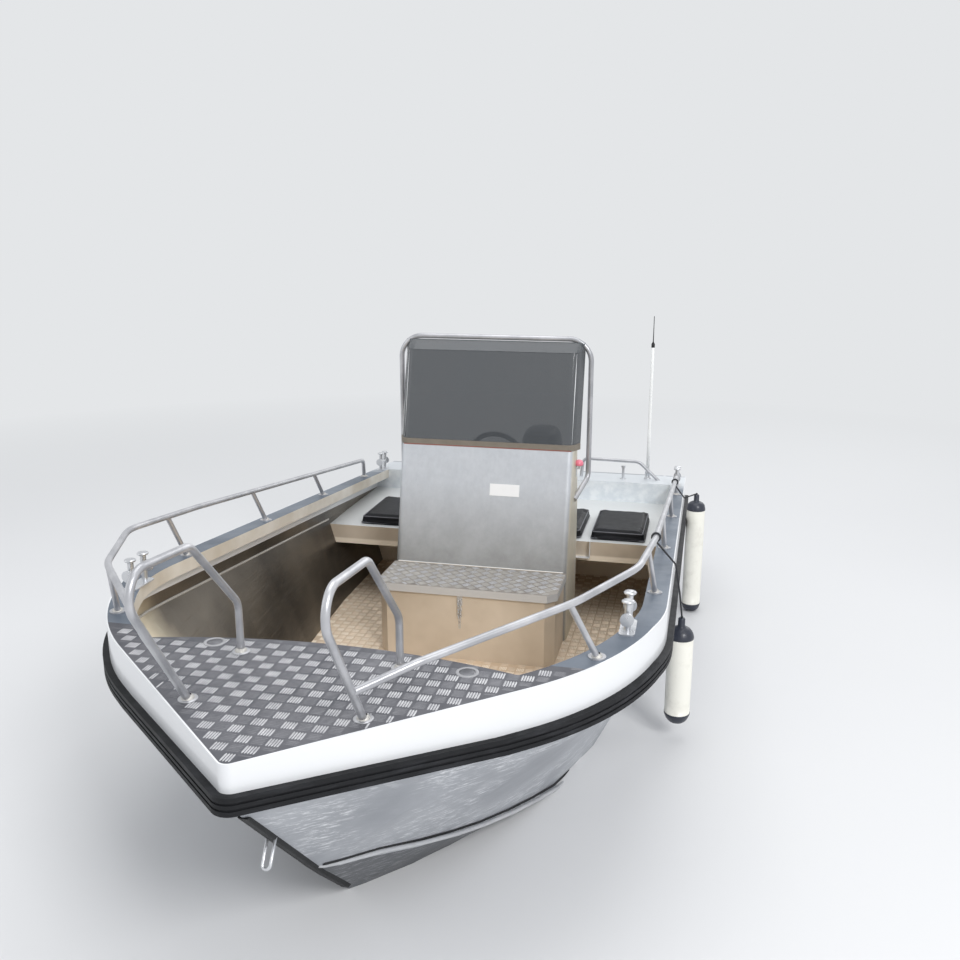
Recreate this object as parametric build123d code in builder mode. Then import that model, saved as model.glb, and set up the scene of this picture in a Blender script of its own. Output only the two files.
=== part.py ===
from build123d import *
from collections import namedtuple
from math import atan2, cos, degrees, hypot, pi, radians, sin, sqrt, tan
import os

os.makedirs("parts", exist_ok=True)

# An open aluminium work boat with a centre console, afloat. Millimetres, bow towards -Y, port +X.
# Heights are above the waterline. Lengths called aft are measured from the bow tip.

# Hull plan and sheer
hull_length = 4800
half_beam = 1090
nose_half = 700
nose_run = 620
nose_round = 35
deck_height = 1000
sheer_break = 1200
sheer_fall = 0.092
plate = 5
bow_joint = 1540
transom_board = 40
overrun = 200

# Painted band and rubber rail under the deck edge
nose_band = 86
side_band = 135
band_taper = 550
rubber_height = 56
rubber_width = 24
groove_height = 7
groove_depth = 4

# Decks and sole
deck_plate = 4
side_deck_width = 90
tread_end = 800
deck_edge_radius = 2390
coaming_depth = 60
bulkhead_setback = 120
sole_height = 120

# Bench, stern wall and motor well
bench_front = hull_length - 1350
bench_height = 570
bench_lip = 85
well_front = hull_length - 680
well_half = 334
well_floor = 200
stern_wall = hull_length - 410
notch_height = 235
cushion_setback = 45
cushion_front = bench_front + cushion_setback
cushion_depth = 490
cushion_thick = 55
cushion_gap = 60
cushion_half = 500
cushion_outer = 890
cushion_round = 45

# Centre console and windscreen
knee_room = 90
console_length = 368
console_half = 497
console_lean = 152
console_top = 1178
dash_lean = 60
dash_foot = 860
dash_flange = 60
console_aft = bench_front - knee_room
console_front = console_aft - console_length
console_top_aft = console_aft - dash_lean
console_plate = 4
console_corner = 35
trim_height = 35
trim_thick = 9
trim_setback = 16
screen_thick = 5
screen_half = 485
screen_round = 50
screen_return = 84
screen_flare = 34
screen_top = 1705
screen_lean = 128
hoop_tube = 15
hoop_half = 554
hoop_aft = console_aft + 16
hoop_top = 1775
hoop_round = 125
hoop_foot_round = 60
hoop_bend = 985
hoop_foot_aft = console_aft - 145
hoop_foot_height = 890

# Helm
wheel_ring = 165
wheel_grip = 14
wheel_hub = 32
wheel_reach = 95
wheel_height = 1030
helm_radius = 40
helm_length = 40
shaft_radius = 9
running_gap = 0.05
shaft_gap = 2
hub_gap = 6
spoke_width = 26
spoke_thick = 6
throttle_box = (60, 110, 48)
throttle_spot = (-280, 20)
lever_slot = (100, 20, 22)
lever_spot = (-314, 50)
lever_low = 18

# Step box with its hinged lid
step_length = 375
step_front = console_front - step_length
step_half = 480
step_chamfer = 48
step_lid_top = 529
step_plate = 3
step_wall = 4
lid_overhang = 14
lid_edge = 42
lid_gap = 0.3
hinge_rod = 5
hinge_setback = 8
hasp_side = -25
hasp_plate = (30, 54, 4)
hasp_drop = 32
hasp_thick = 3
link_outer = (22, 12)
link_inner = (15, 5)
link_pitch = 17
link_count = 8

# Rails: bow loops, side rails and stern rails
rail_tube = 12.5
post_tube = 11
weld_gap = 0.2
rail_branch = 0.37
foot_pad = 30
foot_pad_thick = 4
trim_depth = 400
loop_half = 277
stern_tube = 11

# Double bollards
bollard_post = 12
bollard_height = 115
bollard_spacing = 88
bollard_bar = 10
bollard_bar_height = 58
bollard_disc = 24
bollard_disc_thick = 8
bollard_base = (56, 150, 5)

# Bow eye
eye_half = 16
eye_rod = 5

# Outboard motor: bracket and swivel
bracket_half = 95
clamp_thick = 12
clamp_low = -60
ear_thick = 14
ear_round = 26
tilt_aft = 52
tilt_height = 262
tilt_pin = 10
swivel_knuckle = 24
swivel_web = 80
steer_aft = 118
swivel_radius = 34
swivel_low = -120
swivel_high = 280
king_pin = 14
side_play = 1

# Outboard motor: leg, cowl and propeller
leg_aft = 225
mid_width = 150
mid_length = 130
mid_round = 50
yoke_width = 60
yoke_thick = 44
yoke_gap = 6
cowl_aft = 285
cowl_bottom = 372
cowl_top = 925
anti_vent_height = -412
vent_plate_width = 180
vent_plate_length = 330
vent_plate_thick = 8
strut_width = 60
strut_length = 180
gearcase_height = -600
gearcase_radius = 46
nose_length = 170
nose_ball_radius = 32
tail_length = 120
skeg_thick = 10
skeg_depth = 200
hub_radius = 38
hub_length = 95
prop_shaft = 12
propeller_radius = 160
propeller_pitch = 380


def aft(distance):
    return distance - hull_length / 2


# The plan outline: rounded tip, straight nose, one tangent arc, straight side
nose_angle = atan2(nose_half, nose_run)
bend = (half_beam - nose_half) / (1 - cos(nose_angle))
bend_x = half_beam - bend
bend_end = nose_run + bend * sin(nose_angle)
round_centre = nose_round / sin(nose_angle)
round_end = round_centre - nose_round * sin(nose_angle)


def sheer(distance):
    return deck_height - sheer_fall * max(0, distance - sheer_break)


def half_breadth(distance):
    if distance < round_end:
        return sqrt(nose_round**2 - (round_centre - distance) ** 2)
    if distance < nose_run:
        return distance * tan(nose_angle)
    if distance < bend_end:
        return bend_x + sqrt(bend**2 - (bend_end - distance) ** 2)
    return half_beam


def band_depth(distance):
    return nose_band + (side_band - nose_band) * min(1, distance / band_taper)


def plan(grow=0):
    with BuildSketch() as sketch:
        with BuildLine():
            Line(
                (0, aft(-grow / sin(nose_angle))),
                (nose_half + grow * cos(nose_angle), aft(nose_run - grow * sin(nose_angle))),
            )
            CenterArc((bend_x, aft(bend_end)), bend + grow, -degrees(nose_angle), degrees(nose_angle))
            Polyline(
                (half_beam + grow, aft(bend_end)),
                (half_beam + grow, aft(hull_length)),
                (0, aft(hull_length)),
            )
            mirror(about=Plane.YZ)
        make_face()
        if nose_round + grow > 0:
            fillet(sketch.vertices().sort_by(Axis.Y)[0], nose_round + grow)
    return sketch.sketch


def edge_line(nose_drop, drop):
    start, end = -overrun, hull_length + overrun
    line = [(aft(start), deck_height - nose_drop)]
    if nose_drop != drop:
        line += [(aft(0), deck_height - nose_drop), (aft(band_taper), deck_height - drop)]
    return line + [(aft(sheer_break), deck_height - drop), (aft(end), sheer(end) - drop)]


def between(upper, lower):
    with BuildPart() as slab:
        with BuildSketch(Plane.YZ):
            with BuildLine():
                Polyline(*upper, *reversed(lower), close=True)
            make_face()
        extrude(amount=half_beam + overrun, both=True)
    return slab.part


deck_edge = edge_line(0, 0)
band_foot = edge_line(nose_band, side_band)
rubber_foot = edge_line(nose_band + rubber_height, side_band + rubber_height)


# Hull sections: keel and chine as depths below the fore deck, the chine's half-breadth, and its spray lip
Section = namedtuple("Section", "aft keel chine_half chine lip lip_rise")
sections = [
    Section(14, 153, 1, 152, 0, 1),
    Section(88, 202, 6, 200, 0, 1),
    Section(300, 429, 8, 425, 0, 1),
    Section(550, 696, 14, 686, 0, 1),
    Section(620, 768, 56, 712, 12, 4),
    Section(750, 895, 146, 745, 18, 7),
    Section(900, 1042, 255, 793, 22, 8),
    Section(1050, 1160, 340, 843, 24, 9),
    Section(1200, 1238, 412, 890, 24, 9),
    Section(1380, 1300, 492, 938, 24, 9),
    Section(1540, 1335, 562, 972, 24, 9),
    Section(1700, 1358, 626, 1003, 24, 9),
    Section(2100, 1385, 745, 1045, 24, 9),
    Section(2600, 1398, 832, 1072, 24, 9),
    Section(3300, 1400, 892, 1092, 24, 9),
    Section(hull_length, 1400, 920, 1100, 24, 9),
]


def section_top(section):
    return half_breadth(section.aft), sheer(section.aft) - band_depth(section.aft) - rubber_height


def section_outline(section):
    chine = deck_height - section.chine
    foot = (section.chine_half, chine + section.lip_rise)
    lip = (section.chine_half + section.lip, chine)
    return [section_top(section), foot, lip, (0, deck_height - section.keel)]


def inset(section, wall):
    top, foot, lip, keel = [Vector(*point) for point in section_outline(section)]
    side, floor = (top - foot).normalized(), (lip - keel).normalized()
    corner = foot + Vector(-side.Y, side.X) * wall
    floor_start = keel.Y + wall / floor.X
    return [
        (top.X - wall / side.Y, top.Y),
        (corner.X, corner.Y),
        (corner.X, floor_start + corner.X * floor.Y / floor.X),
        (0, floor_start),
    ]


def loft_through(outlines):
    with BuildPart() as form:
        for distance, outline in outlines:
            with BuildSketch(Plane.XZ.offset(-aft(distance))):
                with BuildLine():
                    Polyline(*outline, *[(-x, z) for x, z in reversed(outline) if x > 0], close=True)
                make_face()
        loft(ruled=True)
    return form.part


outer_hull = loft_through([(s.aft, section_outline(s)) for s in sections])
inner_hull = loft_through([(s.aft, inset(s, plate)) for s in sections[1:]])

with BuildPart() as room:
    with BuildSketch():
        add(plan(-plate))
    extrude(amount=deck_height)
    add(between(deck_edge, rubber_foot), mode=Mode.INTERSECT)
    add(inner_hull)
interior = room.part


def in_room(piece):
    with BuildPart() as fitted:
        add(piece)
        add(interior, mode=Mode.INTERSECT)
    return fitted.part


def block(x_low, x_high, aft_low, aft_high, z_low, z_high):
    with BuildPart(mode=Mode.PRIVATE) as solid:
        with BuildSketch(Plane.XY.offset(z_low)):
            with Locations(((x_low + x_high) / 2, aft((aft_low + aft_high) / 2))):
                Rectangle(x_high - x_low, aft_high - aft_low)
        extrude(amount=z_high - z_low)
    return solid.part


# Hull plating: lofted plate below, upright strake behind the rubber. The bow is welded
# to the rest at bow_joint, and each part is in two halves that meet along the keel
strake_foot = edge_line(nose_band + rubber_height + plate, side_band + rubber_height + plate)
weld_plane = Plane.XZ.offset(-aft(bow_joint))
with BuildPart() as plating:
    with BuildSketch():
        add(plan())
        add(plan(-plate), mode=Mode.SUBTRACT)
    extrude(amount=deck_height)
    add(between(band_foot, strake_foot), mode=Mode.INTERSECT)
    add(outer_hull)
    add(inner_hull, mode=Mode.SUBTRACT)

with BuildPart() as hull_bow_port:
    add(plating.part)
    split(bisect_by=weld_plane, keep=Keep.TOP)
    split(bisect_by=Plane.YZ, keep=Keep.TOP)
hull_bow_port.part.label = "hull_bow_port"
export_step(hull_bow_port.part, "parts/hull_bow_port.step")

with BuildPart() as hull_bow_starboard:
    add(plating.part)
    split(bisect_by=weld_plane, keep=Keep.TOP)
    split(bisect_by=Plane.YZ, keep=Keep.BOTTOM)
hull_bow_starboard.part.label = "hull_bow_starboard"
export_step(hull_bow_starboard.part, "parts/hull_bow_starboard.step")

with BuildPart() as hull_port:
    add(plating.part)
    split(bisect_by=weld_plane, keep=Keep.BOTTOM)
    split(bisect_by=Plane.YZ, keep=Keep.TOP)
hull_port.part.label = "hull_port"
export_step(hull_port.part, "parts/hull_port.step")

with BuildPart() as hull_starboard:
    add(plating.part)
    split(bisect_by=weld_plane, keep=Keep.BOTTOM)
    split(bisect_by=Plane.YZ, keep=Keep.BOTTOM)
hull_starboard.part.label = "hull_starboard"
export_step(hull_starboard.part, "parts/hull_starboard.step")

# Painted band round the deck edge
with BuildPart() as sheer_band:
    with BuildSketch():
        add(plan())
        add(plan(-plate), mode=Mode.SUBTRACT)
    extrude(amount=deck_height)
    add(between(deck_edge, band_foot), mode=Mode.INTERSECT)
sheer_band.part.label = "sheer_band"
export_step(sheer_band.part, "parts/sheer_band.step")

# Rubber rail with two grooves
with BuildPart() as rub_rail:
    with BuildSketch():
        add(plan(rubber_width))
        add(plan(), mode=Mode.SUBTRACT)
    extrude(amount=deck_height)
    add(between(band_foot, rubber_foot), mode=Mode.INTERSECT)
    for middle in (rubber_height / 3, 2 * rubber_height / 3):
        with BuildPart(mode=Mode.PRIVATE) as groove:
            with BuildSketch():
                add(plan(rubber_width + groove_depth))
                add(plan(rubber_width - groove_depth), mode=Mode.SUBTRACT)
            extrude(amount=deck_height)
            top = edge_line(nose_band + middle - groove_height / 2, side_band + middle - groove_height / 2)
            low = edge_line(nose_band + middle + groove_height / 2, side_band + middle + groove_height / 2)
            add(between(top, low), mode=Mode.INTERSECT)
        add(groove.part, mode=Mode.SUBTRACT)
rub_rail.part.label = "rub_rail"
export_step(rub_rail.part, "parts/rub_rail.step")


# Cockpit opening in the deck: a shallow arc forward, the side decks' inner edge beside
def cockpit_opening(grow=0):
    with BuildSketch() as opening:
        add(plan(-plate - side_deck_width + grow))
        with Locations((0, aft(tread_end) - deck_edge_radius)):
            Circle(deck_edge_radius - grow, mode=Mode.SUBTRACT)
        with Locations((0, aft(stern_wall) + hull_length / 2)):
            Rectangle(3 * half_beam, hull_length, mode=Mode.SUBTRACT)
    return opening.sketch


# Fore deck of tread plate with a turned-down edge
with BuildPart() as fore_deck:
    with BuildSketch(Plane.XY.offset(deck_height - deck_plate)):
        add(plan(-plate))
        with Locations((0, aft(tread_end) + hull_length)):
            Rectangle(3 * half_beam, 2 * hull_length, mode=Mode.SUBTRACT)
        add(cockpit_opening(), mode=Mode.SUBTRACT)
    extrude(amount=deck_plate)
    with BuildSketch(Plane.XY.offset(deck_height - coaming_depth)):
        add(cockpit_opening(deck_plate))
        add(cockpit_opening(), mode=Mode.SUBTRACT)
        with Locations((0, aft(tread_end) + hull_length)):
            Rectangle(3 * half_beam, 2 * hull_length, mode=Mode.SUBTRACT)
    extrude(amount=coaming_depth - deck_plate)
fore_deck.part.label = "fore_deck"
export_step(fore_deck.part, "parts/fore_deck.step")


# Side decks with coamings, each running aft into its quarter of the stern deck
def side_deck(side):
    with BuildPart() as deck:
        with BuildSketch():
            add(plan(-plate))
            add(cockpit_opening(), mode=Mode.SUBTRACT)
        extrude(amount=deck_height)
        add(between(deck_edge, edge_line(deck_plate, deck_plate)), mode=Mode.INTERSECT)
        with BuildPart(mode=Mode.PRIVATE) as coaming:
            with BuildSketch():
                add(cockpit_opening(deck_plate))
                add(cockpit_opening(), mode=Mode.SUBTRACT)
            extrude(amount=deck_height)
            add(between(edge_line(deck_plate, deck_plate), edge_line(coaming_depth, coaming_depth)),
                mode=Mode.INTERSECT)
        add(coaming.part)
        wall_top = sheer(stern_wall) - deck_plate
        add(in_room(block(-half_beam, half_beam, stern_wall, stern_wall + deck_plate,
                          bench_height, wall_top)))
        top, stern = deck_height + overrun, hull_length + overrun
        add(block(-well_half, well_half, stern_wall - overrun, stern, 0, top), mode=Mode.SUBTRACT)
        add(block(-half_beam, half_beam, -overrun, tread_end, 0, top), mode=Mode.SUBTRACT)
        far = (-half_beam, 0) if side > 0 else (0, half_beam)
        add(block(*far, 0, stern, 0, top), mode=Mode.SUBTRACT)
        add(block(-half_beam, half_beam, hull_length - transom_board, stern, 0, top), mode=Mode.SUBTRACT)
    return deck.part


with BuildPart() as side_deck_port:
    add(side_deck(1))
side_deck_port.part.label = "side_deck_port"
export_step(side_deck_port.part, "parts/side_deck_port.step")

with BuildPart() as side_deck_starboard:
    add(side_deck(-1))
side_deck_starboard.part.label = "side_deck_starboard"
export_step(side_deck_starboard.part, "parts/side_deck_starboard.step")

# Cockpit sole, cut to the inside of the hull
with BuildPart() as cockpit_sole:
    add(in_room(block(-half_beam, half_beam, tread_end, hull_length - transom_board,
                      sole_height - deck_plate, sole_height)))
cockpit_sole.part.label = "cockpit_sole"
export_step(cockpit_sole.part, "parts/cockpit_sole.step")

# Bulkhead under the fore deck, behind its turned-down edge
bulkhead_aft = tread_end - bulkhead_setback
with BuildPart() as fore_bulkhead:
    add(in_room(block(-half_beam, half_beam, bulkhead_aft, bulkhead_aft + deck_plate,
                      sole_height, deck_height - deck_plate)))
fore_bulkhead.part.label = "fore_bulkhead"
export_step(fore_bulkhead.part, "parts/fore_bulkhead.step")

# Bench: top with a front lip, and the bulkhead under it that closes off the motor well
with BuildPart() as bench:
    add(in_room(block(-half_beam, half_beam, bench_front, stern_wall + deck_plate,
                      bench_height - deck_plate, bench_height)))
    add(block(-well_half, well_half, well_front, hull_length, 0, deck_height), mode=Mode.SUBTRACT)
    add(in_room(block(-half_beam, half_beam, bench_front, bench_front + deck_plate,
                      bench_height - bench_lip, bench_height - deck_plate)))
    add(in_room(block(-half_beam, half_beam, well_front - deck_plate, well_front,
                      sole_height, bench_height - deck_plate)))
bench.part.label = "bench"
export_step(bench.part, "parts/bench.step")

# Transom board with its notch for the motor
with BuildPart() as transom:
    add(in_room(block(-half_beam, half_beam, hull_length - transom_board, hull_length,
                      -half_beam, deck_height)))
    add(block(-well_half, well_half, 0, hull_length + overrun, notch_height, deck_height),
        mode=Mode.SUBTRACT)
transom.part.label = "transom"
export_step(transom.part, "parts/transom.step")

# Motor well: floor and two sides
with BuildPart() as motor_well:
    with BuildSketch(Plane.YZ.offset(-well_half)) as well_side:
        with BuildLine():
            Polyline(
                (aft(well_front), well_floor),
                (aft(well_front), bench_height),
                (aft(stern_wall), bench_height),
                (aft(stern_wall), sheer(stern_wall)),
                (aft(hull_length - transom_board), sheer(hull_length - transom_board)),
                (aft(hull_length - transom_board), well_floor),
                close=True,
            )
        make_face()
    extrude(amount=deck_plate)
    mirror(about=Plane.YZ)
    add(block(-well_half, well_half, well_front, hull_length - transom_board,
              well_floor, well_floor + deck_plate))
motor_well.part.label = "motor_well"
export_step(motor_well.part, "parts/motor_well.step")


# Seat cushions on the bench
def cushion(x_low, x_high):
    with BuildPart() as pad:
        with BuildSketch(Plane.XY.offset(bench_height)):
            with Locations(((x_low + x_high) / 2, aft(cushion_front + cushion_depth / 2))):
                RectangleRounded(x_high - x_low, cushion_depth, cushion_round)
        extrude(amount=cushion_thick)
        fillet(pad.faces().sort_by(Axis.Z)[-1].edges(), cushion_thick / 4)
    return pad.part


with BuildPart() as cushion_port:
    add(cushion(cushion_half + cushion_gap, cushion_outer))
cushion_port.part.label = "cushion_port"
export_step(cushion_port.part, "parts/cushion_port.step")

with BuildPart() as cushion_middle:
    add(cushion(-cushion_half, cushion_half))
cushion_middle.part.label = "cushion_middle"
export_step(cushion_middle.part, "parts/cushion_middle.step")

with BuildPart() as cushion_starboard:
    add(cushion(-cushion_outer, -cushion_half - cushion_gap))
cushion_starboard.part.label = "cushion_starboard"
export_step(cushion_starboard.part, "parts/cushion_starboard.step")


# Console: a shell open aft and below, its front plate leaning back above the step box
panel_top = console_front + console_lean


def console_side(wall):
    with BuildSketch() as side:
        with BuildLine():
            Polyline(
                (aft(console_front + wall), sole_height),
                (aft(console_front + wall), step_lid_top),
                (aft(panel_top + wall), console_top - wall),
                (aft(console_top_aft - wall / 2), console_top - wall),
                (aft(console_aft - wall), dash_foot),
                (aft(console_aft - wall), sole_height),
                close=True,
            )
        make_face()
    return side.sketch


def console_form(wall):
    with BuildPart() as form:
        with BuildSketch(Plane.YZ):
            add(console_side(wall))
        extrude(amount=console_half - wall, both=True)
        corners = form.edges().filter_by(
            lambda e: abs(e.center().X) > console_half - wall - 1
            and e.center().Y < aft(panel_top) and e.length > console_half / 2
        )
        fillet(corners, console_corner - wall)
    return form.part


with BuildPart() as console_body:
    add(console_form(0))
    add(console_form(console_plate), mode=Mode.SUBTRACT)
    add(block(-console_half + console_plate, console_half - console_plate, console_aft - 2 * console_plate,
              console_aft + overrun, 0, dash_foot - dash_flange), mode=Mode.SUBTRACT)
console_body.part.label = "console_body"
export_step(console_body.part, "parts/console_body.step")


# Windscreen and the strip under it share one plan: straight front, round corners, flared sides
screen_foot = console_top + trim_height
screen_front = panel_top + trim_setback


def screen_plan(thick, depth):
    with BuildSketch() as sketch:
        with BuildLine() as centre:
            FilletPolyline(
                (-screen_half - screen_flare, aft(screen_front + depth)),
                (-screen_half, aft(screen_front)),
                (screen_half, aft(screen_front)),
                (screen_half + screen_flare, aft(screen_front + depth)),
                radius=screen_round,
            )
        trace(centre.line, line_width=thick)
    return sketch.sketch


with BuildPart() as screen_trim:
    with BuildSketch(Plane.XY.offset(console_top)):
        add(screen_plan(trim_thick, 0.9 * screen_return))
    extrude(amount=trim_height)
screen_trim.part.label = "screen_trim"
export_step(screen_trim.part, "parts/screen_trim.step")

with BuildPart() as windscreen:
    with BuildSketch(Plane.XY.offset(screen_foot)):
        add(screen_plan(screen_thick, screen_return))
    screen_rise = screen_top - screen_foot
    extrude(amount=hypot(screen_rise, screen_lean), dir=(0, screen_lean, screen_rise))
windscreen.part.label = "windscreen"
export_step(windscreen.part, "parts/windscreen.step")


def bent_line(points, bends):
    with BuildLine() as route:
        FilletPolyline(*points, radius=bends)
    return route.wire()


def strut(start, end, radius):
    with BuildPart(mode=Mode.PRIVATE) as run:
        with BuildSketch(Plane(origin=start, z_dir=end - start)):
            Circle(radius)
        extrude(amount=(end - start).length)
    return run.part


def tube(route, radius):
    with BuildPart(mode=Mode.PRIVATE) as run:
        for span in route.edges():
            if span.geom_type == GeomType.LINE:
                add(strut(span @ 0, span @ 1, radius))
            else:
                with BuildSketch(Plane(origin=span @ 0, z_dir=span % 0)):
                    Circle(radius)
                sweep(path=span)
    return run.part


# Console hoop: over the screen, its feet bent in to the console's sides
with BuildPart() as console_hoop:
    leg = [
        (console_half, aft(hoop_foot_aft), hoop_foot_height),
        (hoop_half, aft(hoop_aft), hoop_bend),
        (hoop_half, aft(hoop_aft), hoop_top),
    ]
    arch = bent_line([*leg, *[(-x, y, z) for x, y, z in reversed(leg)]],
                     [hoop_foot_round, hoop_round, hoop_round, hoop_foot_round])
    add(tube(arch, hoop_tube))
    add(block(-console_half, console_half, hoop_foot_aft - 100, hoop_foot_aft + 100,
              hoop_foot_height - 100, hoop_foot_height + 100), mode=Mode.SUBTRACT)
console_hoop.part.label = "console_hoop"
export_step(console_hoop.part, "parts/console_hoop.step")

# Helm on the dash: its axis is square to the dash plate
dash_angle = atan2(console_top - dash_foot, console_aft - console_top_aft)
dash_middle = (0, aft(console_top_aft + (console_top - wheel_height) / tan(dash_angle)), wheel_height)
dash_normal = (0, sin(dash_angle), cos(dash_angle))
dash_plane = Plane(origin=dash_middle, x_dir=(1, 0, 0), z_dir=dash_normal)

with BuildPart() as helm:
    with BuildSketch(dash_plane):
        Circle(helm_radius)
        Circle(shaft_radius + running_gap, mode=Mode.SUBTRACT)
    extrude(amount=helm_length)
helm.part.label = "helm"
export_step(helm.part, "parts/helm.step")

with BuildPart() as steering_wheel:
    with BuildSketch(dash_plane.offset(shaft_gap)):
        Circle(shaft_radius)
    extrude(amount=wheel_reach - shaft_gap)
    with BuildSketch(dash_plane.offset(helm_length + hub_gap)):
        Circle(wheel_hub)
    extrude(amount=wheel_reach - helm_length)
    with BuildSketch(dash_plane.offset(wheel_reach - spoke_thick / 2)):
        with PolarLocations(wheel_ring / 2, 3, start_angle=90):
            Rectangle(wheel_ring - spoke_thick, spoke_width)
    extrude(amount=spoke_thick)
    with Locations(dash_plane.offset(wheel_reach)):
        Torus(wheel_ring, wheel_grip)
steering_wheel.part.label = "steering_wheel"
export_step(steering_wheel.part, "parts/steering_wheel.step")

# Throttle: box and lever on the dash, to starboard of the wheel
with BuildPart() as throttle:
    width, length, height = throttle_box
    with BuildSketch(dash_plane):
        with Locations(throttle_spot):
            RectangleRounded(width, length, width / 5)
    extrude(amount=height)
    length, width, height = lever_slot
    with BuildSketch(dash_plane.offset(lever_low)):
        with Locations(lever_spot):
            SlotOverall(length, width, rotation=90)
    extrude(amount=height)
throttle.part.label = "throttle"
export_step(throttle.part, "parts/throttle.step")


# Step box: an open box against the console, its front corners cut off
def step_plan(grow):
    front, back = aft(step_front + lid_overhang - grow), aft(console_front)
    half = step_half + grow
    with BuildSketch() as outline:
        with BuildLine():
            Polyline(
                (-half, back),
                (-half, front + step_chamfer),
                (-half + step_chamfer, front),
                (half - step_chamfer, front),
                (half, front + step_chamfer),
                (half, back),
                close=True,
            )
        make_face()
    return outline.sketch


hinge_aft = console_front - hinge_setback
hinge_height = step_lid_top - step_plate / 2
step_box_top = step_lid_top - step_plate - lid_gap

with BuildPart() as step_box:
    with BuildSketch(Plane.XY.offset(sole_height)):
        add(step_plan(0))
        offset(amount=-step_wall, mode=Mode.SUBTRACT)
    extrude(amount=step_box_top - sole_height)
    add(block(-half_beam, half_beam, console_front - step_wall - hinge_setback - hinge_rod, console_front,
              hinge_height - hinge_rod, step_lid_top), mode=Mode.SUBTRACT)
    add(block(-step_half + step_wall, step_half - step_wall, hinge_aft - hinge_rod, console_front,
              hinge_height - hinge_rod - 20, hinge_height - hinge_rod + 0.5))
    with BuildSketch(Plane.YZ.offset(-step_half + step_wall)):
        with Locations((aft(hinge_aft), hinge_height)):
            Circle(hinge_rod)
    extrude(amount=2 * (step_half - step_wall))
step_box.part.label = "step_box"
export_step(step_box.part, "parts/step_box.step")

# Lid of tread plate with its edges turned down outside the box
with BuildPart() as step_lid:
    with BuildSketch(Plane.XY.offset(step_lid_top - lid_edge)):
        add(step_plan(lid_overhang))
        add(step_plan(lid_overhang - step_plate), mode=Mode.SUBTRACT)
    extrude(amount=lid_edge - step_plate)
    with BuildSketch(Plane.XY.offset(step_lid_top - step_plate)):
        add(step_plan(lid_overhang))
    extrude(amount=step_plate)
    add(block(-half_beam, half_beam, hinge_aft - hinge_rod - lid_gap, console_front, 0, deck_height),
        mode=Mode.SUBTRACT)
step_lid.part.label = "step_lid"
export_step(step_lid.part, "parts/step_lid.step")

# Hasp on the box front, with its short chain
with BuildPart() as hasp:
    box_face = Plane.XZ.offset(-aft(step_front + lid_overhang))
    plate_middle = step_lid_top - lid_edge - hasp_drop
    chain_top = plate_middle - hasp_plate[1] / 2
    with BuildSketch(box_face):
        with Locations((hasp_side, plate_middle)):
            RectangleRounded(*hasp_plate)
    extrude(amount=hasp_thick)
    for link in range(link_count):
        with BuildSketch(box_face):
            with Locations((hasp_side, chain_top - link_pitch * link)):
                SlotOverall(*link_outer, rotation=90)
                SlotOverall(*link_inner, rotation=90, mode=Mode.SUBTRACT)
        extrude(amount=hasp_thick)
hasp.part.label = "hasp"
export_step(hasp.part, "parts/hasp.step")

# Rails on the decks. Everything below the deck is trimmed from the feet
below_deck = between(deck_edge, edge_line(trim_depth, trim_depth))


def deck_point(inset, distance, rise=0):
    return Vector(half_breadth(distance) - inset, aft(distance), sheer(distance) + rise)


def deck_plane(point):
    tilt = sheer_fall if point.Y > aft(sheer_break) else 0
    return Plane(origin=point, x_dir=(1, 0, 0), z_dir=(0, tilt, 1))


def foot(point):
    with BuildPart(mode=Mode.PRIVATE) as pad:
        with BuildSketch(deck_plane(point)):
            Circle(foot_pad)
        extrude(amount=foot_pad_thick)
    return pad.part


# Each bend: inset from the deck's edge, aft, rise above the deck and radius. The ends have none
Bend = namedtuple("Bend", "inset aft rise radius")


def rail_line(bends):
    return bent_line([deck_point(b.inset, b.aft, b.rise) for b in bends], [b.radius for b in bends[1:-1]])


def through_deck(under, over):
    start, end = [deck_point(b.inset, b.aft) for b in (under, over)]
    return start + (end - start) * (under.rise / (under.rise - over.rise))


def loop_bend(distance, rise, radius):
    return Bend(half_breadth(distance) - loop_half, distance, rise, radius)


loop_bends = [
    loop_bend(355, -40, 0),
    loop_bend(62, 400, 30),
    loop_bend(118, 480, 30),
    loop_bend(400, 458, 70),
    loop_bend(675, 175, 60),
    loop_bend(675, -20, 0),
]
loop_line = rail_line(loop_bends)
loop_leg = [deck_point(b.inset, b.aft, b.rise) for b in loop_bends[:2]]
branch = loop_leg[0] + (loop_leg[1] - loop_leg[0]) * rail_branch
rail_end = hull_length - 805
rail_bends = [
    Bend(-21, 362, 176, 120),
    Bend(24, 775, 234, 260),
    Bend(56, 1170, 226, 400),
    Bend(70, 1760, 204, 700),
    Bend(48, rail_end, 118, 40),
    Bend(45, rail_end + 23, -41, 0),
]
side_rail = bent_line([branch, *[deck_point(b.inset, b.aft, b.rise) for b in rail_bends]],
                      [b.radius for b in rail_bends[:-1]])

with BuildPart() as bow_loops:
    add(tube(loop_line, rail_tube))
    add(below_deck, mode=Mode.SUBTRACT)
    add(foot(through_deck(*loop_bends[:2])))
    add(foot(through_deck(*reversed(loop_bends[-2:]))))
    mirror(about=Plane.YZ)
bow_loops.part.label = "bow_loops"
export_step(bow_loops.part, "parts/bow_loops.step")

with BuildPart() as bow_rail_port:
    add(tube(side_rail, rail_tube))
    add(below_deck, mode=Mode.SUBTRACT)
    add(tube(loop_line, rail_tube + weld_gap), mode=Mode.SUBTRACT)
    add(foot(through_deck(*reversed(rail_bends[-2:]))))
bow_rail_port.part.label = "bow_rail_port"
export_step(bow_rail_port.part, "parts/bow_rail_port.step")

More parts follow.
